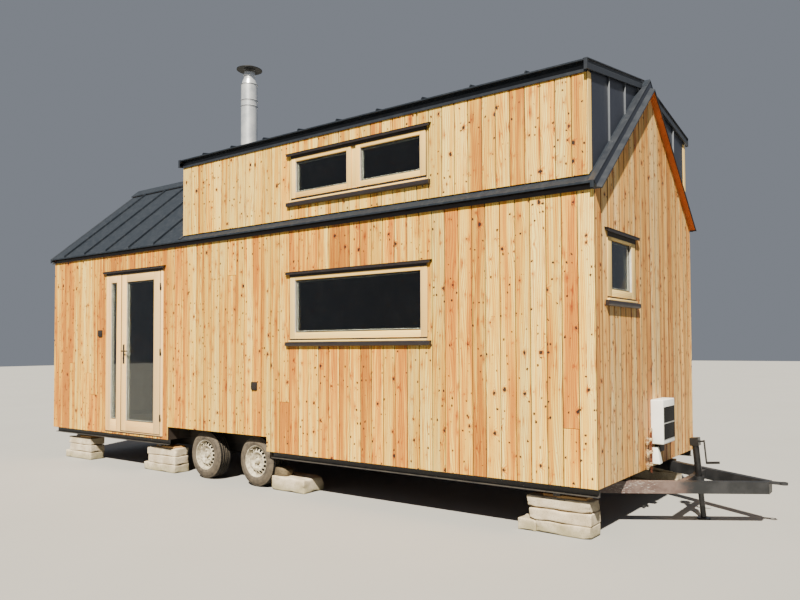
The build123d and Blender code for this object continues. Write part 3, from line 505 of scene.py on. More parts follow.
def sheet_weathering_group():
    """Dust that lies on upward faces, streaks that run down, and slow dents in thin sheet."""
    tree, taken, given = new_group("sheet weathering", {"Dust": 0.5},
                                   ["Dust", "Streaks", "Dents", "Mottle"])
    spot = place_on(tree)
    mottle = cloud(spot, 9.0, 5.0, 0.65)
    lying = fade(facing_up(tree), 0.1, 1.0)
    dust = times(times_plus(lying, 0.7, 0.3),
                 fade(times_plus(cloud(spot, 180.0, 2.0, 0.7), 0.4, mottle), 0.35, 1.05))
    feed(given, {"Dust": times(dust, taken["Dust"]), "Mottle": mottle,
                 "Streaks": fade(cloud(stretched(spot, 28.0, 28.0, 1.3), 1.0), 0.45, 0.75),
                 "Dents": cloud(spot, 1.7, 1.0, 0.4)})
    return tree


def pitted_mineral_group():
    """Pits and pale patches of cast blocks and stone."""
    tree, taken, given = new_group("pitted mineral", {"Grain": 1.0}, ["Pits", "Patches", "Grit"])
    spot = scaled(place_on(tree), taken["Grain"])
    feed(given, {"Pits": fade(cells(spot, 90.0, "3D")["Distance"], 0.1, 0.32),
                 "Patches": cloud(spot, 7.0, 4.0, 0.6), "Grit": cloud(spot, 160.0, 3.0, 0.7)})
    return tree


TIMBER_GRAIN = timber_grain_group()
SHEET_WEATHERING = sheet_weathering_group()
PITTED_MINERAL = pitted_mineral_group()

# Finishes


def timber(name, tones, ring_tone, knot_tone=(28, 15, 8), sheen=0.5, rings=55.0, knots=0.11,
           relief=0.0006, heart=0.5, resin=0.0, follows=False):
    """Timber whose sticks differ in tone, with rings, fibres and knots."""
    made, tree, shader = new_finish(name)
    board = own_value(tree, "board")
    inputs = {"Board": board, "Ring Count": rings, "Knot Size": knots}
    if follows:
        inputs["Along"] = own_value(tree, "along")
    grain = use_group(tree, TIMBER_GRAIN, inputs)
    pick = times_plus(maths("SUBTRACT", grain["Heart"], 0.5), heart, axis(board, 0), clamp=True)
    lighter = times_plus(axis(board, 1), 0.34, 0.8)
    grey = node("ShaderNodeCombineColor", {index: lighter for index in range(3)}).outputs[0]
    colour = tint(ramp(pick, tones), grey)
    late = tint(colour, ring_tone)
    fibre = fade(grain["Fibres"], 0.38, 0.68)
    colour = blend(times(grain["Rings"], 0.62), colour, late)
    colour = blend(times(fibre, 0.34), colour, late)
    for mask, share, tone in (("Resin", resin, (184, 128, 72)), ("Halo", 0.75, (214, 158, 100))):
        colour = blend(times(grain[mask], share), colour, tint(colour, tone))
    colour = blend(times(grain["Knots"], 0.97), colour, knot_tone)
    # Painted shade: a board's grooves and chamfers are darkened as if shade fell in them
    groove = fade(own_value(tree, "sunk", "Fac"), 0.3, 0.8, 0.0, 0.92)
    colour = blend(groove, colour, (66, 42, 24))
    height = times_plus(grain["Rings"], 0.55, times_plus(fibre, 0.45, times(grain["Knots"], -0.5)))
    dress(shader, colour, times_plus(fibre, 0.12, sheen), height, relief)
    return made


def painted_sheet(name, paint, pale, sheen, dust):
    """Coated sheet, a little dusty, with slow dents and faint runs."""
    made, tree, shader = new_finish(name)
    wear = use_group(tree, SHEET_WEATHERING, {"Dust": dust})
    colour = blend(wear["Dust"], paint, pale)
    colour = blend(times(wear["Streaks"], 0.12), colour, pale)
    rough = times_plus(wear["Mottle"], 0.24, times_plus(wear["Dust"], 0.3, sheen - 0.12), clamp=True)
    dress(shader, colour, rough, wear["Dents"], 0.004)
    return made


def roof_sheet_finish():
    """Anthracite standing-seam sheet, with timber lining on the slopes' undersides."""
    made, tree, shader = new_finish("roof_sheet")
    wear = use_group(tree, SHEET_WEATHERING, {"Dust": 0.42})
    colour = blend(wear["Dust"], (27, 33, 42), (47, 52, 59))
    colour = blend(times(wear["Streaks"], 0.1), colour, (100, 102, 106))
    under = fade(facing_up(tree), -0.35, -0.3, 1.0, 0.0)
    across = maths("ABSOLUTE", axis(place_on(tree), 1))
    inside = times(under, fade(across, WALL - 0.03, WALL - 0.02, 1.0, 0.0))
    rough = times_plus(wear["Mottle"], 0.2, times_plus(wear["Dust"], 0.3, 0.46), clamp=True)
    dress(shader, blend(inside, colour, (180, 134, 84)), rough, wear["Dents"], 0.012,
          Specular_IOR_Level=0.22)
    return made


def chassis_finish():
    """Dark brushed paint over steel, worn through to rust in patches."""
    made, tree, shader = new_finish("chassis_paint")
    spot = place_on(tree)
    wear = use_group(tree, SHEET_WEATHERING, {"Dust": 0.55})
    patch = times_plus(cloud(spot, 26.0, 6.0, 0.7), 0.6, times(cloud(spot, 3.1, 2.0), 0.4))
    rusty = fade(patch, 0.66, 0.73)
    colour = blend(fade(patch, 0.57, 0.66), (34, 33, 35), (52, 49, 48))
    colour = blend(rusty, colour, (98, 60, 38))
    colour = blend(times(wear["Dust"], 0.6), colour, (138, 128, 112))
    dress(shader, colour, times_plus(rusty, 0.35, 0.5), times_plus(rusty, 0.6, cloud(spot, 90.0)),
          0.0006)
    return made


def drawbar_finish():
    """Charcoal paint, browner towards the house and scratched to bare metal beside it."""
    made, tree, shader = new_finish("drawbar_paint")
    spot = place_on(tree)
    tone = cloud(spot, 5.0, 4.0, 0.65)
    along = times_plus(tone, 0.3, axis(spot, 0))
    near = fade(axis(spot, 1), -0.25, -0.05, 1.0, 0.0)
    colour = blend(fade(tone, 0.35, 0.65), (27, 28, 30), (44, 44, 46))
    brown = blend(fade(tone, 0.4, 0.6), (88, 71, 66), (110, 93, 86))
    colour = blend(times(near, fade(along, 4.13, 4.23, 1.0, 0.0)), colour, brown)
    scored = fade(cloud(stretched(spot, 20.0, 40.0, 240.0), 1.0, 3.0, 0.6), 0.6, 0.65)
    bare = times(scored, times(near, fade(along, 3.92, 4.04, 1.0, 0.0)))
    dress(shader, blend(bare, colour, (188, 182, 176)), times_plus(tone, 0.2, 0.36),
          cloud(spot, 90.0), 0.0005)
    return made


def mineral(name, pale, dark, grain, relief, stain=None):
    """Cast block or stone, pitted and patchy."""
    made, tree, shader = new_finish(name)
    pores = use_group(tree, PITTED_MINERAL, {"Grain": grain})
    colour = blend(fade(pores["Patches"], 0.35, 0.65), pale, dark)
    colour = blend(times(fade(pores["Grit"], 0.35, 0.7), 0.22), colour, dark)
    shade = tint(colour, (150, 143, 132))
    colour = blend(times_plus(pores["Pits"], -0.75, 0.75), colour, shade)
    if stain:
        edge = times_plus(pores["Patches"], -0.16, axis(place_on(tree), 2))
        colour = blend(fade(edge, -0.07, 0.05, 0.6, 0.0), colour, stain)
    dress(shader, colour, 0.92, times_plus(pores["Pits"], 0.7, pores["Grit"]), relief)
    return made


def smooth_finish(name, colour, second, sheen, patch=12.0, **constants):
    """Moulded, cast or plated surfaces with slow changes of tone and fine speckle."""
    made, tree, shader = new_finish(name)
    spot = place_on(tree)
    tone = cloud(spot, patch, 4.0, 0.6)
    dress(shader, blend(fade(tone, 0.325, 0.675), colour, second),
          times_plus(tone, 0.16, sheen - 0.08, clamp=True), cloud(spot, 420.0, 2.0, 0.6), 0.0004,
          **constants)
    return made


def wall_core_finish():
    """Breather membrane outside, behind the boards, and pine lining inside."""
    made, tree, shader = new_finish("membrane_and_lining")
    grain = use_group(tree, TIMBER_GRAIN, {"Ring Count": 40.0})
    lining = blend(times(grain["Rings"], 0.5), (196, 150, 98), (160, 112, 66))
    spot = place_on(tree)
    across = maths("ABSOLUTE", axis(spot, 1))
    length = maths("ABSOLUTE", maths("SUBTRACT", axis(spot, 0), (GABLE + FAR) / 2))
    half = (GABLE - FAR) / 2
    shell = maths("MAXIMUM", fade(across, WALL - 0.06, WALL - 0.05),
                  fade(length, half - 0.06, half - 0.05))
    felt = blend(cloud(spot, 30.0), (34, 26, 20), (48, 36, 27))
    low = fade(axis(spot, 2), ARCH[3], ARCH[3] + 0.005, 1.0, 0.0)
    dress(shader, blend(maths("MAXIMUM", shell, low), lining, felt), 0.8, grain["Fibres"], 0.0005)
    return made


def tyre_finish():
    """Rubber with dried dust on its walls, and a darker tread that is painted shade."""
    made, tree, shader = new_finish("dusty_tyre")
    spot = place_on(tree)
    dust = fade(cloud(spot, 16.0, 5.0, 0.7), 0.25, 0.62)
    wall = fade(maths("ABSOLUTE", axis(place_on(tree, "Normal"), 1)), 0.45, 0.8)
    # Painted shade: faces that do not look sideways, the tread, take a dark rubber tone; the walls take
    # real dust
    colour = blend(wall, (24, 21, 18), blend(dust, (50, 44, 39), (98, 87, 73)))
    colour = blend(fade(cloud(spot, 240.0, 2.0), 0.5, 0.7, 0.0, 0.35), colour, (44, 40, 36))
    dress(shader, colour, times_plus(dust, 0.2, 0.7), cloud(spot, 220.0), 0.0006)
    return made


def glass_finish():
    """Clear panes that let sunlight through, with a faint film of dust."""
    made, tree, shader = new_finish("window_glass")
    film = cloud(place_on(tree), 5.0, 4.0, 0.6)
    shadow = node("ShaderNodeLightPath", {}, tree).outputs["Is Shadow Ray"]
    dress(shader, blend(film, (150, 160, 158), (176, 182, 178)), fade(film, 0.35, 0.75, 0.0, 0.06),
          Metallic=0.0, IOR=1.5, Transmission_Weight=1.0, Alpha=times_plus(shadow, -0.8, 1.0))
    return made


def stainless_finish():
    """Bright stainless steel, brushed round the pipe."""
    made, tree, shader = new_finish("flue_stainless")
    spot = place_on(tree)
    brushed = cloud(stretched(spot, 6.0, 6.0, 900.0), 1.0, 3.0, 0.6)
    smears = fade(cloud(spot, 8.0, 4.0, 0.6), 0.35, 0.7)
    dress(shader, blend(smears, (238, 240, 242), (206, 210, 216)), times_plus(brushed, 0.16, 0.24),
          brushed, 0.00012, Metallic=0.6)
    return made


LARCH = timber("larch_boards", ((255, 228, 126), (254, 218, 104), (251, 206, 84), (244, 190, 66),
                                (232, 168, 50), (208, 138, 36)),
               (206, 150, 78), knots=0.105, heart=1.0, resin=0.9)
# The gables' larch is a paler, greyer copy of the walls' larch: painted light standing in for the
# cooler, grazing light on the gables
GABLE_LARCH_PAINTED_LIGHT = timber("gable_larch_boards_painted_light",
                     ((255, 228, 158), (254, 219, 138), (251, 209, 120), (245, 196, 104),
                      (233, 178, 88), (208, 148, 68)),
                     (200, 142, 92), sheen=0.55, knots=0.09, heart=1.0, resin=0.9)
WINDOW_WOOD = timber("window_timber", ((255, 228, 150), (254, 220, 138), (252, 212, 128)),
                     (236, 200, 140), sheen=0.4, rings=85.0, knots=0.0, relief=0.0002, heart=0.3,
                     follows=True)
DOOR_WOOD = timber("door_timber", ((255, 222, 158), (253, 214, 146), (250, 206, 134)),
                   (238, 204, 156), sheen=0.4, rings=80.0, knots=0.0, relief=0.0002, heart=0.3,
                   follows=True)
SOFFIT_WOOD = timber("soffit_timber", ((226, 132, 62), (206, 108, 44)), (206, 150, 110),
                     (90, 44, 20), rings=60.0)
SHIM_WOOD = timber("shim_timber", ((226, 184, 120), (206, 158, 96)), (206, 170, 126),
                   (110, 66, 34), 0.6, follows=True)
FLOOR_WOOD = timber("floor_boards", ((178, 134, 90), (160, 116, 74)), (206, 178, 150), (90, 58, 34))
HOUSING_BOARD = smooth_finish("housing_board", (40, 36, 34), (58, 50, 44), 0.8, patch=6.0)
WALL_CORE = wall_core_finish()
ROOF_SHEET = roof_sheet_finish()
CHEEK_SHEET = painted_sheet("cheek_sheet", (36, 40, 52), (62, 66, 76), 0.42, 0.3)
# The cheek seams are a lighter copy of the cheek sheet: painted highlight for seams the sun catches
PAINTED_HIGHLIGHT_CHEEK_SEAM = painted_sheet("painted_highlight_cheek_seam", (92, 96, 104), (120, 122, 126), 0.38, 0.3)
FLASHING = painted_sheet("folded_flashing", (33, 37, 45), (64, 67, 72), 0.4, 0.4)
TRIM_SHEET = painted_sheet("window_flashing", (32, 26, 27), (66, 60, 62), 0.4, 0.45)
# Dark vent mesh under the ridge caps; the same finish is painted shade under window flashings and
# frames
VENT_MESH_AND_PAINTED_SHADE = smooth_finish("vent_mesh_and_painted_shade", (20, 15, 13), (34, 26, 23), 0.8, patch=60.0)
GLASS = glass_finish()
SPACER = smooth_finish("pane_spacer", (206, 200, 188), (182, 176, 164), 0.5)
# Pane gaskets; the same dark finish is painted shade in the gaps round the casements and the door leaf
GASKET_AND_PAINTED_SHADE = smooth_finish("pane_gasket_and_painted_shade", (40, 34, 32), (58, 50, 46), 0.6)
BRONZE = smooth_finish("dark_bronze", (38, 26, 20), (24, 17, 14), 0.45, patch=30.0, Metallic=0.2)
CHASSIS_PAINT = chassis_finish()
DRAWBAR_PAINT = drawbar_finish()
JACK_PAINT = smooth_finish("jack_enamel", (13, 13, 15), (28, 27, 27), 0.3, patch=20.0)
TYRE = tyre_finish()
RIM = smooth_finish("rim_paint", (208, 198, 176), (142, 130, 108), 0.42, patch=22.0)
RIM_DARK = smooth_finish("brake_drum", (12, 11, 10), (20, 18, 16), 0.8)
STAINLESS = stainless_finish()
CAP_BLACK = smooth_finish("cap_black", (10, 10, 11), (20, 20, 22), 0.6)
UNIT_WHITE = smooth_finish("unit_enamel", (246, 246, 240), (232, 232, 224), 0.4, patch=3.0)
GRILLE_BLACK = smooth_finish("grille_black", (6, 6, 6), (16, 15, 14), 0.8)
BRASS = smooth_finish("valve_brass", (240, 218, 172), (150, 104, 66), 0.34, patch=60.0, Metallic=0.6)
COPPER = smooth_finish("pipe_copper", (186, 120, 92), (104, 62, 46), 0.34, patch=30.0, Metallic=0.7)
BOX_PLASTIC = smooth_finish("wall_box_plastic", (18, 11, 8), (26, 18, 14), 0.7)
BLOCK_MINERAL = mineral("aerated_block", (222, 206, 178), (190, 172, 142), 1.0, 0.0022,
                        (140, 134, 98))
STONE = mineral("field_stone", (112, 96, 70), (78, 66, 48), 0.5, 0.006)

for finish, labels in (
        (FLOOR_WOOD, "floor"), (HOUSING_BOARD, "wheel_housings"),
        (WALL_CORE, "front_wall_left front_wall_door_bay front_wall_right back_wall gable_wall_hitch "
                    "gable_wall_far dormer_wall_front dormer_wall_back dormer_cheeks"),
        (ROOF_SHEET, "roof_front roof_back eave_strips verge_strips dormer_roof_front "
                     "dormer_roof_back"),
        (TRIM_SHEET, "eave_fascias"), (FLASHING, "dormer_fascias dormer_rake_trims"),
        (CHASSIS_PAINT, "main_rails cross_members axles"),
        (DRAWBAR_PAINT, "drawbar_beams jack_crossbar towing_eye"),
        (JACK_PAINT, "jack_tube jack_leg jack_crank")):
    for label in labels.split():
        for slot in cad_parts[label].material_slots:
            slot.material = finish

# Cladding of two kinds: the long walls' wide boards, and the gables' narrow ones with deep grooves and
# darker painted shade in them
WIDE_BOARDS = {"width": 0.143, "chamfer": 0.0035, "seam": 0.007, "uneven": 0.004, "shade": 0.6,
               "material": LARCH}
NARROW_BOARDS = {"width": 0.1275, "chamfer": 0.008, "seam": 0.013, "uneven": 0.011, "shade": 2.4,
                 "material": GABLE_LARCH_PAINTED_LIGHT}
BOARD_DEPTH = 0.01
BOARD_FACE = 0.009
BUTT_GAP = 0.002
BUTT_CLEAR = 0.4
OPENING_GAP = 0.003
SEAM_CLEAR = 0.02
CORNER_BOARD = 0.01
VERGE_DROP = 0.096
EAVE_BOARD_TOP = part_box("eave_fascias")[0].z + 0.006
DORMER_BOARD_FOOT = main_roof(WALL) + 0.007
DORMER_BOARD_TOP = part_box("dormer_fascias")[0].z + 0.006


def inset(opening, *widths):
    """An opening made smaller by its left, right, foot and head width, or by one width all round."""
    x_low, x_high, z_low, z_high = opening
    left, right, foot, head = widths if len(widths) > 1 else widths * 4
    return (x_low + left, x_high - right, z_low + foot, z_high - head)


def mirrored(span):
    """An opening, or only its low and high x, as the opposite long wall has it."""
    x_low, x_high, *heights = span
    return (-x_high, -x_low, *heights)


def touches(face, opening):
    """Whether a face of the cladding reaches into an opening."""
    x_low, x_high, z_low, z_high = opening
    xs = [vert.co.x for vert in face.verts]
    zs = [vert.co.z for vert in face.verts]
    return max(xs) > x_low and min(xs) < x_high and max(zs) > z_low and min(zs) < z_high


def cut_opening(boards, opening):
    """Cuts a rectangular opening out of the boards."""
    x_low, x_high, z_low, z_high = opening
    for normal, value in (((1, 0, 0), x_low), ((1, 0, 0), x_high), ((0, 0, 1), z_low),
                          ((0, 0, 1), z_high)):
        faces = [face for face in boards.faces if touches(face, opening)]
        edges = list(dict.fromkeys(edge for face in faces for edge in face.edges))
        verts = list(dict.fromkeys(vert for face in faces for vert in face.verts))
        cut(boards, Vector(normal) * value, normal, faces + edges + verts)
    centres = [(face, face.calc_center_median()) for face in boards.faces]
    inside = [face for face, centre in centres
              if x_low < centre.x < x_high and z_low < centre.z < z_high]
    bmesh.ops.delete(boards, geom=inside, context="FACES")


def tone_islands(boards, rng, warmth, shade):
    """Gives every board its own tone, warmer or paler along the wall, and marks the corners off its
    face, where painted shade darkens its grooves.
    """
    sunk = boards.verts.layers.float.new("sunk")
    # Corners off a board's face are marked, so painted shade darkens its grooves and chamfers
    for vert in boards.verts:
        vert[sunk] = shade * float(vert.co.y > -BOARD_FACE)
    layer = boards.verts.layers.float_vector.new("board")
    seen = set()
    for start in boards.verts:
        if start in seen:
            continue
        island = [start]
        seen.add(start)
        for vert in island:
            for edge in vert.link_edges:
                other = edge.other_vert(vert)
                if other not in seen:
                    seen.add(other)
                    island.append(other)
        lean = warmth(start.co.x) if warmth else 0.0
        own = (min(max(rng.betavariate(1.9, 2.2) + lean, 0.0), 1.0), rng.random(), rng.random())
        for vert in island:
            vert[layer] = own


def seam_places(ends, width, openings, uneven, rng):
    """Where the seams between boards fall, none of them right beside an opening's edge."""
    left, right = ends
    count = round((right - left) / width)
    places = [left + index * (right - left) / count for index in range(count + 1)]
    for index in range(1, count):
        places[index] += rng.uniform(-uneven, uneven)
    for edge in [x for opening in openings for x in opening[:2]]:
        for index in range(1, count):
            away = places[index] - edge
            if abs(away) < SEAM_CLEAR:
                places[index] = edge + math.copysign(SEAM_CLEAR, away)
    return places


def lay_boards(name, facing, ends, heights, seed, openings, slopes=(), warmth=None,
               joint_share=0.12, *, width, chamfer, seam, uneven, shade, material):
    """Clads a wall with upright boards, drawn on the plane y = 0 and then put in place."""
    rng = random.Random(seed)
    boards = bmesh.new()
    places = seam_places(ends, width, openings, uneven, rng)
    for left, right in zip(places, places[1:]):
        x_low, x_high = left + seam / 2, right - seam / 2
        levels = list(heights)
        if rng.random() < joint_share:
            levels.insert(1, rng.uniform(heights[0] + BUTT_CLEAR, heights[1] - BUTT_CLEAR))
        for low, high in zip(levels, levels[1:]):
            top = high - BUTT_GAP
            boards.faces.new([boards.verts.new((x, 0, z)) for x, z in
                              ((x_low, low), (x_high, low), (x_high, top), (x_low, top))])
    for opening in openings:
        cut_opening(boards, inset(opening, -OPENING_GAP))
    for point, normal in slopes:
        cut(boards, point, normal, clear_outer=True)
    bmesh.ops.dissolve_limit(boards, angle_limit=0.01, verts=boards.verts[:], edges=boards.edges[:])
    draw_out(boards, boards.faces[:], (0, -BOARD_DEPTH, 0))
    rims = dict.fromkeys(edge for face in boards.faces if face.normal.y < -0.9
                         for edge in face.edges)
    ease_edges(boards, list(rims), chamfer)
    tone_islands(boards, rng, warmth, shade)
    Piece(name, material).add(boards, wall_place(facing)).done()


WARM, PLAIN, PALE, DORMER_PALE = 0.18, 0.02, -0.1, -0.16
WARM_END, PALE_START = -2.0, 2.4


def front_warmth(x):
    """Boards are more orange at the far end and under the low window, paler by the hitch."""
    if x < WARM_END or LOW_WINDOW[0] < x < LOW_WINDOW[1]:
        return WARM
    return PALE if x > PALE_START else PLAIN


rake_point = (0, 0, RIDGE_TOP - VERGE_DROP)
rake_cuts = [(rake_point, Vector((side * MAIN_SLOPE, 0, 1)).normalized()) for side in (1, -1)]
long_wall = (FAR - CORNER_BOARD, GABLE + CORNER_BOARD)
dormer_span = (DORMER_LEFT, DORMER_RIGHT)
long_heights = (FOOT, EAVE_BOARD_TOP)
gable_heights = (FOOT, RIDGE_TOP)
dormer_heights = (DORMER_BOARD_FOOT, DORMER_BOARD_TOP)
lay_boards("front_boards", "front", long_wall, long_heights, 11, [DOOR, LOW_WINDOW, ARCH],
           warmth=front_warmth, **WIDE_BOARDS)
lay_boards("back_boards", "back", mirrored(long_wall), long_heights, 12,
           [mirrored(LOW_WINDOW), mirrored(ARCH)], **WIDE_BOARDS)
lay_boards("hitch_gable_boards", "hitch", (-WALL, WALL), gable_heights, 13, [GABLE_WINDOW],
           rake_cuts, **NARROW_BOARDS)
lay_boards("far_gable_boards", "far", (-WALL, WALL), gable_heights, 14, [], rake_cuts,
           **NARROW_BOARDS)
lay_boards("front_dormer_boards", "front", dormer_span, dormer_heights, 15, [HIGH_WINDOW],
           warmth=lambda x: DORMER_PALE, joint_share=0.0, **WIDE_BOARDS)
lay_boards("back_dormer_boards", "back", mirrored(dormer_span), dormer_heights, 16,
           [mirrored(HIGH_WINDOW)], joint_share=0.0, **WIDE_BOARDS)

# Standing seams on the roof slopes
SEAM_HEIGHT = 0.026
SEAM_WIDTH = 0.01
SEAM_FOOT_CUT = 0.014
SEAM_ROUND = 0.003
SEAM_START, SEAM_SUNK = 0.004, 0.001
MAIN_SEAMS = (-4.339, -3.807, -3.274, -2.735, -2.184)
DORMER_SEAMS = [GABLE - reach for reach in (4.85, 4.343, 3.801, 3.26, 2.712, 2.185, 1.639, 1.112,
                                            0.567)]


def seam_part(length):
    """A standing seam up a slope, its foot end cut back, drawn along y."""
    part = block((-SEAM_WIDTH / 2, 0, 0), (SEAM_WIDTH / 2, length, SEAM_HEIGHT))
    ease_edges(part, [edge for edge in part.edges
                      if all(vert.co.y < 1e-6 and vert.co.z > 1e-3 for vert in edge.verts)],
               SEAM_FOOT_CUT)
    ease_edges(part, [edge for edge in part.edges
                      if all(vert.co.z > SEAM_HEIGHT - 1e-4 for vert in edge.verts)
                      and abs(edge.verts[0].co.x - edge.verts[1].co.x) < 1e-6], SEAM_ROUND, 2)
    return part


for name, places, edge_z, slope in (("main_roof_seams", MAIN_SEAMS, EAVE_TOP, MAIN_SLOPE),
                                    ("dormer_roof_seams", DORMER_SEAMS, DORMER_EAVE, DORMER_SLOPE)):
    seams = Piece(name, ROOF_SHEET)
    length = (EAVE_OUT - 0.06) * math.hypot(1, slope)
    for side in BOTH_SIDES:
        for x in places:
            seams.add(seam_part(length), at(x, 0, 0) @ slope_place(side, edge_z, slope)
                      @ at(0, SEAM_START, -SEAM_SUNK))
    seams.done(30)

# Ridge caps of folded sheet, raised on dark vent strips over the main roof
ridge_sheets = Piece("ridge_caps", ROOF_SHEET, hides="ridge_cap")
ridge_vents = Piece("ridge_vent_strips", VENT_MESH_AND_PAINTED_SHADE)
cap_left, cap_right = FAR - 0.03, GABLE + 0.03
for roof, reach, lift, lip, ends in (
        (main_roof, 0.12, 0.036, 0.016, (cap_left, -3.1)),
        (main_roof, 0.12, 0.036, 0.016, (-3.104, DORMER_LEFT - 0.022)),
        (dormer_roof, 0.118, 0.01, 0.009, (DORMER_LEFT - 0.02, 0.2)),
        (dormer_roof, 0.118, 0.01, 0.009, (0.196, 2.2)),
        (dormer_roof, 0.118, 0.01, 0.009, (2.196, DORMER_RIGHT + 0.018)),
        (main_roof, 0.1, 0.008, 0.006, (DORMER_RIGHT + 0.02, cap_right))):
    foot = roof(reach) + lift
    ridge_sheets.add(folded_sheet([(-reach, foot - lip), (-reach, foot), (0, roof(0) + lift),
                                   (reach, foot), (reach, foot - lip)], *ends))
for side in BOTH_SIDES:
    inner, outer = side * 0.03, side * 0.105
    ridge_vents.add(prism([(y, main_roof(y) + rise) for y, rise in
                           ((inner, -0.001), (outer, -0.001), (outer, 0.033), (inner, 0.033))],
                          cap_left + 0.012, DORMER_LEFT - 0.024))
ridge_sheets.done()
ridge_vents.done()

# Verges


def keep_behind(part, point, normal):
    """Cuts a closed part by a plane, keeps what lies against the normal and closes the cut."""
    made = cut(part, point, normal, clear_outer=True)
    bmesh.ops.holes_fill(part, edges=edges_in(made))
    face_outward(part)


def square_end(part, side, reach_in, way=1):
    """Ends a bar on the main roof's verge square to the slope, some way up from the eave."""
    down = Vector((0, side, -MAIN_SLOPE)).normalized() * way
    reach = EAVE_OUT - reach_in
    keep_behind(part, (0, side * reach, main_roof(reach)), down)


def verge_bar(profile, edge, outward, side, roof):
    """A profile of reach and drop, run up a verge from the eave to the ridge."""
    part = bmesh.new()
    start = side * EAVE_OUT
    face = part.faces.new([part.verts.new((edge + outward * reach, start, roof(start) - drop))
                           for reach, drop in profile])
    draw_out(part, [face], (0, -start, roof(0) - roof(start)))
    return part


RAKE_SHELF = ((-0.018, -0.004), (0.031, -0.004), (0.036, 0), (0.036, 0.012), (0, 0.012),
              (-0.018, 0.002))
RAKE_CHANNEL = ((0, 0.006), (0.032, 0.006), (0.032, 0.08), (0.026, 0.086), (0, 0.05))
RAKE_LIP = ((0.024, 0.08), (0.032, 0.076), (0.072, 0.092), (0.078, 0.097), (0.078, 0.109),
            (0.07, 0.109), (0.068, 0.102), (0.024, 0.086))
RAKE_BOARD = ((0, 0.05), (0.026, 0.084), (0.068, 0.101), (0.068, 0.108), (0, 0.108))
RAKE_STEP, RAKE_RISE = 0.745, 0.667
RAKE_CAP = ((0, 0.006), (0.036, 0.006), (0.036, 0.078), (0.078, 0.097), (0.078, 0.109), (0, 0.109))
rake_folds = Piece("rake_folds", FLASHING, hides="rake_trims")
rake_channels = Piece("rake_channels", CHEEK_SHEET)
rake_boards = Piece("rake_soffit_boards", SOFFIT_WOOD, hides="rake_soffits")
for side in BOTH_SIDES:
    for edge, outward in ((GABLE, 1), (FAR, -1)):
        for piece, profile, reach_in in ((rake_folds, RAKE_SHELF, 0), (rake_folds, RAKE_LIP, 0),
                                         (rake_channels, RAKE_CHANNEL, 0.004),
                                         (rake_boards, RAKE_BOARD, 0.014)):
            bar = verge_bar(profile, edge, outward, side, main_roof)
            square_end(bar, side, reach_in)
            stick = (0.5, 0.5, 0.3 + 0.2 * side) if piece is rake_boards else None
            piece.add(bar, None, stick, (0, -RAKE_STEP * side, RAKE_RISE))
        cap = verge_bar(RAKE_CAP, edge, outward, side, main_roof)
        square_end(cap, side, 0.002)
        square_end(cap, side, 0.01, -1)
        rake_folds.add(cap)
rake_folds.done(30)
rake_channels.done(30)
rake_boards.done()

# The dormers' verges: a drip fold that throws a shadow and a deeper fold below it
DORMER_DRIP = ((-0.006, -0.005), (0.03, -0.005), (0.033, -0.002), (0.033, 0.005), (-0.006, 0.005))
DORMER_FOLD = ((0, 0.036), (0.026, 0.036), (0.031, 0.041), (0.031, 0.086), (0.018, 0.086),
               (0.016, 0.074), (0, 0.074))
verge_folds = Piece("dormer_verge_folds", FLASHING)
for side in BOTH_SIDES:
    for x, outward in DORMER_ENDS:
        for profile in (DORMER_DRIP, DORMER_FOLD):
            part = verge_bar(profile, x, outward, side, dormer_roof)
            keep_behind(part, (0, side * 0.1, 0), (0, -side, 0))
            verge_folds.add(part)
        verge_folds.add(block((x, side * (EAVE_OUT + 0.001), DORMER_EAVE - 0.086),
                              (x + outward * 0.031, side * (EAVE_OUT - 0.003),
                               DORMER_EAVE + 0.003)))
    verge_folds.add(block((0, 0.03, -0.001), (side * 0.052, 1.66, 0.012), 0.002),
                    at(DORMER_LEFT, 0, 0) @ slope_place(side, EAVE_TOP, MAIN_SLOPE))
verge_folds.done(40)

# Sheet on the dormer cheeks with its upright seams, made lighter as painted highlight where the sun
# catches them, and the boards' ends in front of it
cheek_sheets = Piece("cheek_sheets", CHEEK_SHEET)
cheek_seams = Piece("cheek_seams", PAINTED_HIGHLIGHT_CHEEK_SEAM)
board_ends = Piece("dormer_board_ends", WINDOW_WOOD)
CHEEK_SEAMS = (0.862, 0.497, 0.16)
CHEEK_DROP = 0.05
near = WALL - 0.055
meet = EAVE_OUT - (DORMER_EAVE - CHEEK_DROP - EAVE_TOP) / (MAIN_SLOPE - DORMER_SLOPE)
for side in BOTH_SIDES:
    for x, outward in DORMER_ENDS:
        cheek_sheets.add(prism([(side * near, main_roof(near) - 0.004),
                                (side * near, dormer_roof(near) - CHEEK_DROP),
                                (side * meet, dormer_roof(meet) - CHEEK_DROP)],
                               x - outward * 0.001, x + outward * 0.003))
        for y in CHEEK_SEAMS:
            foot, head = main_roof(y) - 0.004, dormer_roof(y) - 0.06
            if head - foot > 0.05:
                cheek_seams.add(block((x, side * y - 0.005, foot),
                                      (x + outward * 0.02, side * y + 0.005, head), 0.002))
        outer, inner = side * (WALL + 0.01), side * near
        board_ends.add(prism([(outer, DORMER_BOARD_FOOT), (outer, DORMER_BOARD_TOP),
                              (inner, DORMER_BOARD_TOP), (inner, main_roof(inner) + 0.007)],
                             x + outward * 0.001, x + outward * 0.008, 0.0015),
                       stick=(0.4, 0.5, 0.3))
cheek_sheets.done(40)
cheek_seams.done(40)
board_ends.done()

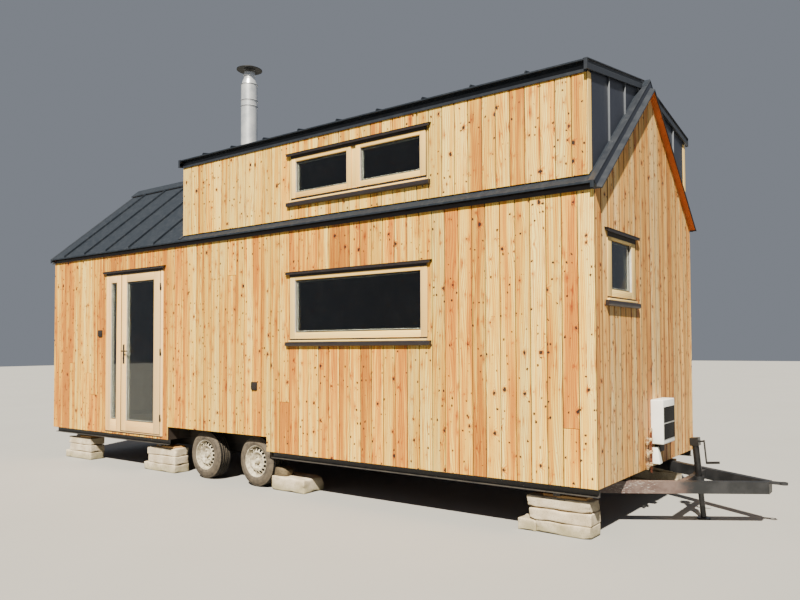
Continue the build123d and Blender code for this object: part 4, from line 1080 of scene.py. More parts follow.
# Joinery
JOINERY_PROUD = 0.014
JOINERY_DEPTH = 0.07
JOINERY_EASE = 0.0025
RECESS = 0.016
BEAD_WIDTH = 0.003
PANE_BITE = 0.006
PANE_PITCH = 0.018
PANE_THICKNESS = 0.004
SPACER_WIDTH, SPACER_DEPTH = 0.012, 0.013
GASKET_WIDTH, GASKET_DEPTH = 0.006, 0.002
LONG_WALLS = (("front", tuple), ("back", mirrored))
rng_joinery = random.Random(31)


def stick_tone():
    """A stick's own tone, shade and shift of grain."""
    return tuple(rng_joinery.random() for _ in range(3))


def turned_along(place, along):
    """The way a stick's grain runs once it is in place."""
    return tuple(place.to_3x3() @ Vector(along))


def slab(opening, front, back, ease=0.0):
    """A block over a rectangle of the wall, from its front to its back y."""
    x_low, x_high, z_low, z_high = opening
    return block((x_low, front, z_low), (x_high, back, z_high), ease)


def ring(opening, left, right, foot, head):
    """Four sticks round an opening, as rectangles with their grain: stiles, then rails between."""
    x_low, x_high, z_low, z_high = opening
    return (((x_low, x_low + left, z_low, z_high), (0, 0, 1)),
            ((x_high - right, x_high, z_low, z_high), (0, 0, 1)),
            ((x_low + left, x_high - right, z_low, z_low + foot), (1, 0, 0)),
            ((x_low + left, x_high - right, z_high - head, z_high), (1, 0, 0)))


def add_frame(piece, place, opening, widths, front, depth):
    """A frame of four timber sticks."""
    for rectangle, along in ring(opening, *widths):
        piece.add(slab(rectangle, -front, depth - front, JOINERY_EASE), place, stick_tone(),
                  turned_along(place, along))


def add_plain_ring(piece, place, opening, width, front, depth):
    """A thin rectangular ring."""
    for rectangle, _ in ring(opening, width, width, width, width):
        piece.add(slab(rectangle, -front, depth - front), place)


def glaze(pieces, place, hole, bead_front, bead_depth, margin, front):
    """Beads up both sides of a hole, two sheets of glass, the spacer between and a gasket."""
    glass, spacers, gaskets = pieces
    x_low, x_high, *heights = hole
    for low, high in ((x_low - 0.001, x_low + BEAD_WIDTH), (x_high - BEAD_WIDTH, x_high + 0.001)):
        spacers.add(slab((low, high, *heights), -bead_front, bead_depth - bead_front), place)
    pane = inset(hole, margin)
    for y in (-front, PANE_PITCH - front):
        glass.add(slab(inset(pane, -PANE_BITE), y, y + PANE_THICKNESS), place)
    add_plain_ring(spacers, place, inset(pane, 0.001), SPACER_WIDTH, front - 0.0045, SPACER_DEPTH)
    add_plain_ring(gaskets, place, inset(pane, -0.002), GASKET_WIDTH, front + 0.0022, GASKET_DEPTH)


window_timber = Piece("window_joinery", WINDOW_WOOD, hides="window_frames")
window_glass = Piece("window_glass", GLASS, hides="window_panes")
window_spacers = Piece("window_spacers", SPACER)
window_gaskets_and_painted_shade = Piece("window_gaskets_and_painted_shade", GASKET_AND_PAINTED_SHADE)
window_panes = (window_glass, window_spacers, window_gaskets_and_painted_shade)


def add_sash(place, opening, widths):
    """A glazed sash: its sticks, the beads inside them and the pane."""
    add_frame(window_timber, place, opening, widths, JOINERY_PROUD, JOINERY_DEPTH - RECESS)
    glaze(window_panes, place, inset(opening, *widths), 0.011, 0.023, 0.007, -0.008)


def add_casements(place, opening, post):
    """Two casements that stand proud of a frame, with its post recessed between them."""
    outer, inner, foot, head = 0.063, 0.056, 0.055, 0.057
    x_low, x_high, z_low, z_high = opening
    left, right = post
    add_frame(window_timber, place, opening, (0.03,) * 4, JOINERY_PROUD - RECESS,
              JOINERY_DEPTH - RECESS)
    window_timber.add(slab((left - 0.006, right + 0.006, z_low + 0.03, z_high - 0.03),
                           RECESS - JOINERY_PROUD, JOINERY_DEPTH - JOINERY_PROUD, JOINERY_EASE),
                      place, stick_tone())
    # Painted shade: a dark ring in the gap round the casements
    add_plain_ring(window_gaskets_and_painted_shade, place, opening, 0.016, 0.001, 0.004)
    heights = (z_low + 0.012, z_high - 0.009)
    add_sash(place, (x_low + 0.009, left, *heights), (outer, inner, foot, head))
    add_sash(place, (right, x_high - 0.009, *heights), (inner, outer, foot, head))


for facing, seen in LONG_WALLS:
    place = wall_place(facing)
    add_sash(place, seen(LOW_WINDOW), (0.073, 0.073, 0.065, 0.065))
    add_casements(place, seen(HIGH_WINDOW), seen((GABLE - 2.557, GABLE - 2.493)))
add_sash(wall_place("hitch"), GABLE_WINDOW, (0.088, 0.088, 0.059, 0.059))

# Folded flashings over and under the openings
window_flashings = Piece("window_flashings", TRIM_SHEET, hides="window_trims")
# Dark strips of painted shade under the head flashings and along the frames' feet
painted_shade_strips = Piece("painted_shade_strips", VENT_MESH_AND_PAINTED_SHADE)
SILL_REACH = 0.045
HEAD_REACH = 0.042
FLASHING_END = 0.045
FLASHING_TIP = 0.012


def add_fold(place, fold, level, x_low, x_high, reach, ease):
    """A flashing along an opening, from its fold in y and in height over a level."""
    window_flashings.add(prism([(y, level + rise) for y, rise in fold], x_low - reach,
                               x_high + reach, ease), place)


def add_head(place, opening, shade=0.03):
    """A head flashing with a drip lip, pointed tips and a dark strip of painted shade under it."""
    x_low, x_high, _, level = opening
    lip, edge = -HEAD_REACH, -HEAD_REACH - 0.003
    add_fold(place, ((0, 0.002), (lip + 0.004, 0.002), (lip + 0.004, -0.006), (lip, -0.006),
                     (lip, 0.016), (0, 0.024)), level, x_low, x_high, FLASHING_END, 0.0008)
    add_fold(place, ((0, 0.025), (edge, 0.017), (edge, 0.021), (0, 0.03)), level, x_low, x_high,
             FLASHING_END + FLASHING_TIP, 0.0005)
    # Painted shade over the frame's head, under the flashing
    painted_shade_strips.add(slab((x_low + 0.002, x_high - 0.002, level - shade, level),
                       -JOINERY_PROUD - 0.0015, 0), place)


def add_sill(place, opening):
    """A dark strip of painted shade under the frame, a timber drip below it and a sheet sill with a
    deep lip.
    """
    x_low, x_high, level, _ = opening
    lip = -SILL_REACH
    # Painted shade along the frame's foot
    painted_shade_strips.add(slab((x_low - 0.002, x_high + 0.002, level - 0.016, level + 0.0005), -0.0125, 0),
                  place)
    window_timber.add(slab((x_low - 0.004, x_high + 0.004, level - 0.032, level - 0.016), -0.032, 0,
                           0.002), place, stick_tone(), turned_along(place, (1, 0, 0)))
    add_fold(place, ((0, -0.078), (lip + 0.01, -0.078), (lip, -0.07), (lip, -0.04),
                     (lip + 0.006, -0.034), (0, -0.031)), level, x_low, x_high, FLASHING_END, 0.0008)


for facing, seen in LONG_WALLS:
    for opening in (LOW_WINDOW, HIGH_WINDOW):
        add_head(wall_place(facing), seen(opening))
        add_sill(wall_place(facing), seen(opening))
add_head(wall_place("hitch"), GABLE_WINDOW, 0.04)
add_sill(wall_place("hitch"), GABLE_WINDOW)
add_head(wall_place("front"), DOOR)
window_flashings.done(30)
painted_shade_strips.done()

# Door: frame with its side light, leaf, panes
front_place = wall_place("front")
door_x_low, door_x_high, door_z_low, door_z_high = DOOR
leaf_x_low, leaf_x_high, leaf_z_low, leaf_z_high = DOOR_LEAF
LEAF_GAP = 0.005
JAMB = 0.052
door_frame = Piece("door_joinery", DOOR_WOOD, hides="door_frame")
light_low, light_high = leaf_z_low - LEAF_GAP, leaf_z_high + LEAF_GAP
add_frame(door_frame, front_place, DOOR, (JAMB, door_x_high - leaf_x_high - LEAF_GAP,
                                          light_low - door_z_low, door_z_high - light_high),
          0.012, 0.074)
side_light = (door_x_low + JAMB, leaf_x_low - LEAF_GAP, light_low, light_high)
light_widths = (0.057, 0.112, 0.139, 0.105)
add_frame(door_frame, front_place, side_light, light_widths, 0.011, 0.07)
glaze(window_panes, front_place, inset(side_light, *light_widths), 0.007, 0.018, 0.004, -0.01)
door_frame.done(30)
# Painted shade: dark strips in the gap round the leaf and along the door's foot
painted_gap_shade = Piece("door_leaf_gap_painted_shade", GASKET_AND_PAINTED_SHADE)
add_plain_ring(painted_gap_shade, front_place, inset(DOOR_LEAF, -0.009, -0.009, -0.009, -0.006), 0.008, 0.0128,
               0.008)
painted_gap_shade.add(slab((door_x_low + 0.004, door_x_high - 0.004, door_z_low - 0.01, door_z_low + 0.001),
                -0.016, 0), front_place)
painted_gap_shade.done()
window_timber.done(30)
for piece in window_panes:
    piece.done()

door_leaf = Piece("door_leaf_joinery", DOOR_WOOD, "door", "door_leaf")
leaf_panes = (Piece("door_leaf_glass", GLASS, "door", "door_pane"),
              Piece("door_leaf_spacer", SPACER, "door"), Piece("door_leaf_gasket", GASKET_AND_PAINTED_SHADE, "door"))
leaf_widths = [abs(pane - leaf) - 0.004 for pane, leaf in zip(LEAF_PANE, DOOR_LEAF)]
add_frame(door_leaf, front_place, DOOR_LEAF, leaf_widths, 0.01, 0.066)
glaze(leaf_panes, front_place, inset(DOOR_LEAF, *leaf_widths), 0.007, 0.018, 0.005, -0.01)
for piece in (door_leaf, *leaf_panes):
    piece.done(30)

# Handle: plate, lever and lock cylinder
handle_low, handle_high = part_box("door_handle")
plate_x = handle_low.x + 0.017
lever_z = FOOT + 1.081
lever_y = -WALL - 0.048
handle = Piece("door_lever", BRONZE, "door", "door_handle")
handle.add(block((plate_x - 0.017, -WALL - 0.017, handle_low.z),
                 (plate_x + 0.017, -WALL - 0.0095, handle_high.z), 0.003))
outward = turn(math.pi / 2, "X")
handle.add(turned([(0, 0), (0.013, 0), (0.013, 0.004), (0.009, 0.007), (0.009, 0.034)], 24),
           at(plate_x, -WALL - 0.016, lever_z) @ outward)
handle.add(bent_rod([(plate_x + reach, lever_y + dip, lever_z) for reach, dip in
                     ((0, 0.006), (0.012, 0), (0.06, -0.001), (0.118, 0), (0.128, 0.005))], 0.0085))
handle.add(turned([(0, 0.009), (0.0085, 0.009), (0.0085, 0)], 24),
           at(plate_x, -WALL - 0.016, lever_z - 0.092) @ outward)
for lift in (0.075, -0.145):
    handle.add(turned([(0, 0.0025), (0.003, 0.0022), (0.0045, 0)], 16),
               at(plate_x, -WALL - 0.0165, lever_z + lift) @ outward)
handle.done(35)

# Hinges, a knuckle and a strap on each side
pin_x, pin_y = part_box("frame_hinges")[0].x + 0.009, -WALL - 0.019
frame_hinges = Piece("hinges_on_frame", BRONZE, hides="frame_hinges")
leaf_hinges = Piece("hinges_on_leaf", BRONZE, "door", "leaf_hinges")
for level in (leaf_z_low + 0.202, (leaf_z_low + leaf_z_high) / 2, leaf_z_high - 0.202):
    pin = at(pin_x, pin_y, level)
    frame_hinges.add(turned([(0, -0.045), (0.006, -0.045), (0.0088, -0.041), (0.0088, -0.0004),
                             (0, -0.0004)], 20), pin)
    leaf_hinges.add(turned([(0, 0), (0.0088, 0), (0.0088, 0.0405), (0.006, 0.0445), (0, 0.0445)],
                           20), pin)
    frame_hinges.add(block((pin_x, -WALL - 0.014, level - 0.044),
                           (pin_x + 0.014, -WALL - 0.0105, level - 0.001), 0.001))
    leaf_hinges.add(block((leaf_x_high - 0.01, -WALL - 0.014, level + 0.001),
                          (pin_x, -WALL - 0.0108, level + 0.043), 0.001))
frame_hinges.done(35)
leaf_hinges.done(35)

# Wheels
DISC_STEPS = ((0, -0.014), (0.072, -0.014), (0.084, -0.004), (0.096, 0.01), (0.104, 0.012),
              (0.112, 0.007), (0.146, -0.012), (0.156, -0.02))
DISC_GAUGE = 0.004
HOLE_COUNT = 16
HOLE_RADIUS, HOLE_CIRCLE = 0.0172, 0.127
HOLE_RING = (0.107, 0.117, HOLE_CIRCLE, 0.137, 0.146)


def disc_height(radius):
    """How far out the wheel disc stands at a radius, from its flat middle."""
    for (near, low), (far, high) in zip(DISC_STEPS, DISC_STEPS[1:]):
        if radius <= far:
            return low + (high - low) * (radius - near) / (far - near)
    return DISC_STEPS[-1][1]


def disc_with_holes():
    """A pressed wheel disc with a circle of round holes, about z."""
    sector = 2 * math.pi / HOLE_COUNT
    part = bmesh.new()
    hole = bmesh.ops.create_circle(part, cap_ends=False, segments=12,
                                   radius=HOLE_RADIUS)["verts"]
    bmesh.ops.translate(part, vec=(HOLE_CIRCLE, 0, 0), verts=hole)
    outline = [(-0.5, radius) for radius in HOLE_RING] + [(0, HOLE_RING[-1])]
    outline += [(0.5, radius) for radius in reversed(HOLE_RING)] + [(0, HOLE_RING[0])]
    corners = [part.verts.new((radius * math.cos(angle * sector), radius * math.sin(angle * sector), 0))
               for angle, radius in outline]
    rim_edges = [part.edges.new(pair) for pair in zip(corners, corners[1:] + corners[:1])]
    hole_edges = [edge for edge in part.edges if edge not in set(rim_edges)]
    bmesh.ops.bridge_loops(part, edges=rim_edges + hole_edges)
    inner = [edge for edge in rim_edges if max(map(flat_radius, edge.verts)) < 0.1075]
    outer = [edge for edge in rim_edges if min(map(flat_radius, edge.verts)) > 0.1455]
    for edges, radii in ((inner, (0.104, 0.096, 0.084, 0.072, 0.04)), (outer, (0.156,))):
        for radius in radii:
            made = bmesh.ops.extrude_edge_only(part, edges=edges)["geom"]
            for vert in verts_in(made):
                vert.co = vert.co * (radius / flat_radius(vert))
            edges = edges_in(made)
    bmesh.ops.spin(part, geom=part.faces[:], axis=(0, 0, 1), cent=(0, 0, 0), use_duplicate=True,
                   angle=2 * math.pi - sector, steps=HOLE_COUNT - 1, use_merge=False)
    bmesh.ops.remove_doubles(part, verts=part.verts[:], dist=1e-4)
    for vert in part.verts:
        vert.co.z = disc_height(flat_radius(vert))
    thicken(part, DISC_GAUGE)
    return part


def tyre_part():
    """A tyre about z, outer side up, its tread cut into blocks."""
    half, belt, groove = 0.0925, 0.2725, 0.007
    wall = [(radius, half - drop) for radius, drop in
            ((0.166, 0.014), (0.176, 0.006), (0.186, 0.002), (0.2, 0.001), (0.204, -0.0005),
             (0.208, 0.001), (0.226, 0.002), (0.24, 0.006), (0.252, 0.012), (0.262, 0.021))]
    ribs = []
    for low, high in ((0.07, 0.044), (0.036, 0.014), (0.007, -0.007), (-0.014, -0.036),
                      (-0.044, -0.07)):
        ribs += [(belt - groove, low + 0.001), (belt, low - 0.0005), (belt, high + 0.0005),
                 (belt - groove, high - 0.001)]
    profile = wall + ribs + [(radius, -height) for radius, height in reversed(wall)]
    part = turned(profile + [profile[0]], 72)

    def on_belt(face):
        """Whether a face lies on the tread."""
        return face.calc_center_median().to_2d().length > belt - 0.0012

    tread = [face for face in part.faces if on_belt(face)]
    bmesh.ops.inset_individual(part, faces=tread, thickness=0.0016, depth=0.0)
    face_outward(part)
    lugs = [face for face in tread if face.is_valid]
    bmesh.ops.inset_individual(part, faces=lugs, thickness=0.0012, depth=0.0)
    sunk = [face for face in part.faces if face.calc_area() < 0.00004 and on_belt(face)]
    for vert in dict.fromkeys(vert for face in sunk for vert in face.verts):
        if not any(face in set(lugs) for face in vert.link_faces):
            share = 1 - 0.004 / flat_radius(vert)
            vert.co.x *= share
            vert.co.y *= share
    return part


RIM_PROFILE = [(0.1655, -0.078), (0.168, -0.074), (0.166, -0.06), (0.16, -0.052), (0.152, -0.03),
               (0.15, 0.03), (0.158, 0.05), (0.166, 0.062), (0.168, 0.076), (0.177, 0.0805),
               (0.178, 0.084), (0.1755, 0.0855), (0.166, 0.081), (0.16, 0.066), (0.153, 0.05),
               (0.1475, 0.036), (0.1475, -0.03), (0.156, -0.056), (0.162, -0.076), (0.1655, -0.078)]
HUB_PROFILE = [(0, 0.068), (0.022, 0.068), (0.029, 0.064), (0.032, 0.056), (0.034, 0.044),
               (0.044, 0.04)]
BOLT_PROFILE = [(0, 0.058), (0.006, 0.058), (0.0085, 0.055), (0.0085, 0.044), (0.013, 0.041)]
VALVE_PROFILE = [(0, 0.084), (0.003, 0.084), (0.0035, 0.07), (0.006, 0.066), (0.006, 0.05)]
DRUM_PROFILE = [(0, 0.01), (0.142, 0.008), (0.145, 0.004), (0.145, -0.02), (0.06, -0.026),
                (0.036, -0.026)]
BOLT_COUNT = 4
for axle in ("rear", "fore"):
    for side_name, side in zip(("front", "back"), BOTH_SIDES):
        which = f"{axle}_{side_name}"
        body = f"wheel_{which}"
        low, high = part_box(f"tyre_{which}")
        place = Matrix.Translation((low + high) / 2) @ turn(-side * math.pi / 2, "X")
        Piece(f"tyre_tread_{which}", TYRE, body, f"tyre_{which}").add(tyre_part(), place).done(40)
        rim = Piece(f"rim_pressed_{which}", RIM, body, f"rim_{which}")
        rim.add(turned(RIM_PROFILE, 64), place)
        rim.add(disc_with_holes(), place @ at(0, 0, 0.058))
        rim.add(turned(HUB_PROFILE, 40), place)
        for index in range(BOLT_COUNT):
            rim.add(turned(BOLT_PROFILE, 6), place
                    @ turn(index * 2 * math.pi / BOLT_COUNT + 0.5, "Z") @ at(0.054, 0, 0))
        rim.add(turned(VALVE_PROFILE, 12), place @ turn(2.2, "Z") @ at(0.15, 0, 0))
        rim.done(40)
        Piece(f"brake_drum_{which}", RIM_DARK, body).add(turned(DRUM_PROFILE, 40), place).done(40)

# Side rails: channels whose flanges look outwards
side_low, side_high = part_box("side_rails")
side_channels = Piece("side_channels", CHASSIS_PAINT, hides="side_rails")
lip_y, web_y = side_high.y, side_high.y - 0.04
channel = ((lip_y, side_low.z), (lip_y, side_low.z + 0.006), (web_y + 0.006, side_low.z + 0.008),
           (web_y + 0.006, side_high.z - 0.008), (lip_y, side_high.z - 0.006), (lip_y, side_high.z),
           (web_y, side_high.z), (web_y, side_low.z))
for side in BOTH_SIDES:
    for ends in ((FAR, ARCH[0] - 0.04), (ARCH[1] + 0.04, GABLE)):
        side_channels.add(prism([(side * y, z) for y, z in channel], *ends, 0.0012))
side_channels.done()

# Flue: insulated pipe with its bands, reducing cone, neck, rain cap and flashing skirt
flue_low, flue_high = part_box("flue_pipe")
flue_x, flue_y = (flue_low.x + flue_high.x) / 2, (flue_low.y + flue_high.y) / 2
flue_place = at(flue_x, flue_y, 0)
roof_here = dormer_roof(flue_y)
band_radius = (flue_high.x - flue_low.x) / 2
body_radius = band_radius - 0.003
pipe_top = flue_high.z - 0.006
shell_top = pipe_top - 0.1
profile = [(body_radius, roof_here - 0.06)]
for level in (shell_top - 0.282, shell_top - 0.208):
    profile += [(band_radius - inward, level + rise) for inward, rise in
                ((0.003, -0.012), (0, -0.009), (0, -0.004), (0.006, -0.002), (0.006, 0.003),
                 (0, 0.005), (0, 0.01), (0.003, 0.013))]
profile += [(body_radius, shell_top - 0.014), (band_radius, shell_top - 0.01),
            (band_radius, shell_top - 0.002), (body_radius - 0.004, shell_top),
            (0.079, shell_top + 0.056), (0.071, shell_top + 0.062), (0.068, pipe_top + 0.004),
            (0.06, pipe_top + 0.004), (0.06, shell_top)]
Piece("flue_jacket", STAINLESS, hides="flue_pipe").add(turned(profile, 64), flue_place).done(30)
bands = Piece("flue_bands", FLASHING)
for level in (shell_top - 0.2815, shell_top - 0.2075, shell_top - 0.006):
    bands.add(turned([(body_radius - 0.004, level - 0.003), (band_radius + 0.0006, level - 0.003),
                      (band_radius + 0.0006, level + 0.003), (body_radius - 0.004, level + 0.003)],
                     64), flue_place)
bands.done(30)
cap_place = at(flue_x, flue_y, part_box("flue_cap")[0].z)
neck = Piece("flue_neck", STAINLESS, hides="flue_cap")
neck.add(turned([(0.071, 0), (0.073, 0.003), (0.073, 0.012), (0.068, 0.016), (0.066, 0.05),
                 (0.062, 0.05), (0.062, 0), (0.071, 0)], 48), cap_place)
for index in range(3):
    neck.add(block((0.062, -0.01, 0.03), (0.0645, 0.01, 0.084), 0.001),
             cap_place @ turn(0.4 + index * 2 * math.pi / 3, "Z"))
neck.done(30)
Piece("flue_rain_cap", CAP_BLACK).add(
    turned([(0, 0.086), (0.06, 0.084), (0.15, 0.078), (0.154, 0.08), (0.154, 0.086),
            (0.148, 0.089), (0.06, 0.126), (0.018, 0.139), (0, 0.141)], 64), cap_place).done(30)
skirt_place = at(flue_x, flue_y, roof_here) @ turn(math.atan(DORMER_SLOPE), "X")
skirt = Piece("flue_skirt", FLASHING)
skirt.add(turned([(0.15, 0.001), (0.15, 0.006), (0.128, 0.01), (0.112, 0.05), (0.106, 0.085),
                  (0.101, 0.09), (0.1, 0.001)], 48), skirt_place)
skirt.add(block((-0.185, -0.19, 0.0005), (0.185, 0.19, 0.004), 0.001), skirt_place)
skirt.done(35)

# Heater unit on the gable: enamelled case, grille and the junction box under it
unit_low, unit_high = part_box("heater_unit")
grille_low, grille_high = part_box("heater_grille")
case_foot = FOOT + 0.212
case = Piece("heater_case", UNIT_WHITE, hides="heater_unit")
case.add(block((GABLE + 0.01, unit_low.y, case_foot), unit_high, 0.01, 4))
case.add(block((GABLE, unit_low.y + 0.03, case_foot + 0.03),
               (GABLE + 0.014, unit_high.y - 0.03, unit_high.z - 0.03), 0.002))
cover = block((GABLE, unit_low.y + 0.01, FOOT + 0.03),
              (GABLE + 0.09, unit_low.y + 0.092, case_foot - 0.03), 0.008, 3)
for vert in cover.verts:
    rise = (vert.co.z - FOOT - 0.03) / (case_foot - FOOT - 0.06)
    vert.co.y += 0.024 * rise * (1 if vert.co.y < unit_low.y + 0.05 else -0.4)
    vert.co.x -= 0.03 * rise * (vert.co.x - GABLE) / 0.09
case.add(cover)
case.done(40)
Piece("heater_duct", BOX_PLASTIC).add(
    block((GABLE, unit_low.y + 0.1, case_foot - 0.085),
          (GABLE + 0.06, unit_low.y + 0.235, case_foot - 0.002), 0.006)).done(40)
grille = Piece("heater_louvres", GRILLE_BLACK, hides="heater_grille")
middle_level = (grille_low.z + grille_high.z) / 2
SLATS = 9
for z_low, z_high in ((grille_low.z, middle_level - 0.006), (middle_level + 0.006, grille_high.z)):
    grille.add(block((unit_high.x - 0.004, grille_low.y, z_low),
                     (unit_high.x + 0.0005, grille_high.y, z_high), 0.0004))
    for edge_y, inner_y in ((grille_low.y, grille_low.y + 0.008),
                            (grille_high.y, grille_high.y - 0.008)):
        grille.add(block((unit_high.x - 0.002, edge_y, z_low),
                         (unit_high.x + 0.004, inner_y, z_high), 0.001))
    for index in range(SLATS + 1):
        level = z_low + 0.003 + index * (z_high - z_low - 0.006) / SLATS
        grille.add(block((unit_high.x - 0.001, grille_low.y + 0.004, level - 0.0022),
                         (unit_high.x + 0.004, grille_high.y - 0.004, level + 0.0022), 0.0008))
grille.done(40)

# Valves and pipes beside it
pipe_foot, pipe_head = [corner.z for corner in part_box("valve_manifold")]
riser_x, riser_y = GABLE + 0.045, -0.155
upright = at(riser_x, riser_y, 0)
riser = Piece("copper_pipes", COPPER, hides="valve_manifold")
riser.add(turned([(0, pipe_foot), (0.011, pipe_foot), (0.011, pipe_head - 0.03),
                  (0, pipe_head - 0.03)], 24), upright)
valves = Piece("brass_valves", BRASS)
ARM_PROFILE = [(0, -0.016), (0.013, -0.016), (0.014, -0.01), (0.014, 0.02), (0.017, 0.022),
               (0.017, 0.034), (0.012, 0.036), (0.012, 0.058), (0.015, 0.06), (0.015, 0.074),
               (0.009, 0.076), (0.009, 0.088), (0, 0.088)]
KNOB_PROFILE = [(0, 0.03), (0.013, 0.029), (0.014, 0.022), (0.005, 0.018), (0.005, 0)]
UNION_PROFILE = [(0, -0.034), (0.011, -0.034), (0.012, -0.022), (0.017, -0.018), (0.017, 0.018),
                 (0.012, 0.022), (0.011, 0.034), (0, 0.034)]
for rise in (0.045, 0.155, 0.265):
    tee = at(riser_x, riser_y, FOOT + rise)
    to_wall = tee @ turn(-math.pi / 2, "Y")
    riser.add(turned([(0.0075, 0), (0.0075, 0.043)], 16), to_wall)
    valves.add(turned([(0, 0.04), (0.016, 0.04), (0.017, 0.044), (0.008, 0.0445)], 24), to_wall)
    valves.add(turned(ARM_PROFILE, 24), tee @ turn(math.pi / 2, "X"))
    valves.add(block((-0.014, -0.014, -0.017), (0.014, 0.014, 0.017), 0.004), tee)
    valves.add(turned(KNOB_PROFILE, 20),
               tee @ at(0.012, -0.048, 0) @ turn(math.pi / 2, "Y") @ Matrix.Scale(0.6, 4))
    valves.add(turned(UNION_PROFILE, 20), tee @ at(0, -0.104, 0))
valves.add(turned([(radius, pipe_head - drop) for radius, drop in
                   ((0, 0), (0.008, 0.001), (0.013, 0.008), (0.013, 0.036), (0.011, 0.04))], 20),
           upright)
riser.done(35)
valves.done(35)

# Two small boxes on the front wall
boxes = Piece("wall_outlets", BOX_PLASTIC, hides="wall_boxes")
for x, z in ((GABLE - 3.985, FOOT + 0.698), (GABLE - 7.102, FOOT + 1.318)):
    place = at(x, -WALL, z)
    boxes.add(block((-0.045, -0.024, -0.045), (0.045, 0, 0.045), 0.006, 3), place)
    boxes.add(block((-0.039, -0.032, -0.036), (0.039, -0.023, 0.04), 0.004, 3), place)
    boxes.add(block((-0.03, -0.031, 0.038), (0.03, -0.022, 0.044), 0.002), place)
boxes.done(40)

# Supports
NOISE_SEED = 5
CHIP_DEPTH = 0.16
CHIP_SCALE, GRAIN_SCALE = 9, 16
CHIP_START = 0.8
SEED_SHIFT = Vector((3.7, 1.3, 2.1))
noise.seed_set(NOISE_SEED)


def rough_block(first, second, seed, wear=0.006, grain=0.0025, askew=0.06):
    """A cast block with worn, chipped edges, laid a little askew."""
    part = block(first, second)
    bmesh.ops.subdivide_edges(part, edges=part.edges[:], cuts=7, use_grid_fill=True)
    ease_edges(part, [edge for edge in part.edges if edge.calc_face_angle(0.0) > 1.0], wear, 2)
    low, high = box_corners(first, second)
    middle, half = (low + high) / 2, (high - low) / 2
    shift = SEED_SHIFT * seed
    for vert in part.verts:
        away = vert.co - middle
        signs = Vector([math.copysign(1.0, part_away) for part_away in away])
        near = sorted(abs(away[index]) / half[index] for index in range(3))
        patch = noise.noise(vert.co * CHIP_SCALE + shift) + 0.05
        chip = max(0.0, near[1] - CHIP_START) * max(0.0, patch)
        vert.co -= signs * chip * CHIP_DEPTH
        pull = noise.noise_vector(vert.co * GRAIN_SCALE + shift) * grain
        vert.co += Vector([-abs(pull[index]) * signs[index] for index in range(3)])
    skew = turn(noise.noise(shift) * askew, "Z")
    bmesh.ops.transform(part, matrix=Matrix.Translation(middle) @ skew
                        @ Matrix.Translation(-middle), verts=part.verts[:])
    return part


piers = Piece("pier_blocks", BLOCK_MINERAL, hides="block_piers")
shims = Piece("pier_timbers", SHIM_WOOD, hides="pier_shims")
PIER_X = (GABLE - 0.38, GABLE - 5.85, GABLE - 7.785)
COURSE = 0.1
COURSE_ENDS = ((-0.375, -0.205, 0.288), (-0.276, 0.29), (-0.29, 0.284))
pier_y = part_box("block_piers")[1].y
seed = 0
for x in PIER_X:
    for side in BOTH_SIDES:
        for course, ends in enumerate(COURSE_ENDS):
            for left, right in zip(ends, ends[1:]):
                piers.add(rough_block((x + left + 0.001, side * pier_y, course * COURSE),
                                      (x + right - 0.001, side * (pier_y - 0.2),
                                       (course + 1) * COURSE - 0.002),
                                      seed * 7 + course + left))
        shim_low, shim_high = sorted((side * (pier_y - 0.022), side * (pier_y - 0.178)))
        foot = 3 * COURSE - 0.003
        shims.add(block((x - 0.02, shim_low, foot), (x + 0.24, shim_high, foot + 0.022), 0.002),
                  None, (0.3, 0.6, 0.1 * seed), (1, 0, 0))
        shims.add(block((x - 0.15, shim_low + 0.012, foot),
                        (x - 0.03, shim_high - 0.01, foot + 0.0225), 0.002),
                  None, (0.7, 0.3, 0.2 * seed), (1, 0, 0))
        seed += 1
piers.done(50)
shims.done()

chock_low, chock_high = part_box("wheel_chocks")
chocks = Piece("chock_blocks", BLOCK_MINERAL, hides="wheel_chocks")
stones = Piece("chock_stones", STONE)
for side in BOTH_SIDES:
    chocks.add(rough_block((chock_low.x, side * chock_high.y, 0),
                           (chock_high.x, side * (chock_high.y - 0.3), chock_high.z), 40 + side,
                           0.01, 0.004, 0.0))
    rock = bmesh.new()
    bmesh.ops.create_icosphere(rock, subdivisions=5, radius=1.0)
    for vert in rock.verts:
        vert.co = Vector([math.copysign(abs(part_co) ** 0.62, part_co) for part_co in vert.co])
        vert.co *= 1 + 0.14 * noise.noise(vert.co * 1.1 + Vector((5, side, 2)))
        vert.co.z -= 0.3 * vert.co.x * (vert.co.z > 0)
        vert.co += noise.noise_vector(vert.co * 3.5) * 0.035
        vert.co.z = max(vert.co.z, -0.72)
    stones.add(rock, at(chock_low.x + 0.098, side * (chock_high.y - 0.095), 0.19)
               @ Matrix.Diagonal((0.098, 0.078, 0.056, 1)))
chocks.done(50)
stones.done(60)

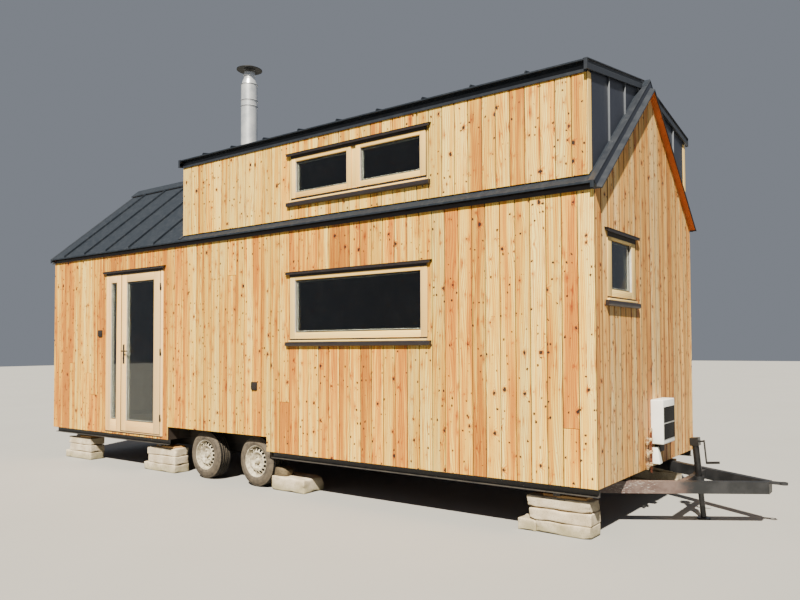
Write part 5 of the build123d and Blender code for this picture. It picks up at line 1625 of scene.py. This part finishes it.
# Camera, as the photograph was taken
CAMERA_AT = (GABLE + 2.211, -6.406, 1.545)
YAW, PITCH, ROLL = 0.5964, 0.0311, -0.0066
SENSOR = 36.0
FOCAL_PIXELS, PHOTO_PIXELS = 704.4678, 800
forward = Vector((-math.sin(YAW) * math.cos(PITCH), math.cos(YAW) * math.cos(PITCH),
                  math.sin(PITCH)))
level = Vector((math.cos(YAW), math.sin(YAW), 0))
straight_up = level.cross(forward)
right_way = math.cos(ROLL) * level + math.sin(ROLL) * straight_up
up_way = -math.sin(ROLL) * level + math.cos(ROLL) * straight_up
camera_data = bpy.data.cameras.new("camera")
camera_data.sensor_width = SENSOR
camera_data.lens = FOCAL_PIXELS / PHOTO_PIXELS * SENSOR
camera_data.shift_x, camera_data.shift_y = -0.075, 0.0295
camera = show("camera", camera_data)
camera.matrix_world = at(*CAMERA_AT) @ Matrix((right_way, up_way, -forward)).transposed().to_4x4()
bpy.context.scene.camera = camera

# Studio: pale floor that sends little light back, as turf does, and soft light from above
floor_made, floor_tree, floor_shader = new_finish("studio_floor")
pale = blend(cloud(place_on(floor_tree), 0.6), (162, 160, 156), (170, 168, 164))
bounced = node("ShaderNodeLightPath", {}, floor_tree).outputs["Is Diffuse Ray"]
dress(floor_shader, blend(bounced, pale, (88, 88, 82)), 0.85)
ground = bmesh.new()
bmesh.ops.create_grid(ground, x_segments=1, y_segments=1, size=60.0)
floor_mesh = bpy.data.meshes.new("studio_floor")
ground.to_mesh(floor_mesh)
ground.free()
floor_mesh.materials.append(floor_made)
show("studio_floor", floor_mesh)

SKY_COLOUR, SKY_STRENGTH = (0.8, 0.87, 1.0, 1.0), 0.26
world = bpy.data.worlds.new("studio")
bpy.context.scene.world = world
world.use_nodes = True
feed(world.node_tree.nodes["Background"].inputs, {"Color": SKY_COLOUR, "Strength": SKY_STRENGTH})

SUN_TOWARDS = (0.29, -0.615, 0.733)
key_data = bpy.data.lights.new("key_light", "SUN")
key_data.energy = 12.4
key_data.angle = math.radians(1.5)
key_data.color = (1.0, 0.94, 0.8)
show("key_light", key_data).rotation_euler = Vector(SUN_TOWARDS).to_track_quat("Z", "Y").to_euler()
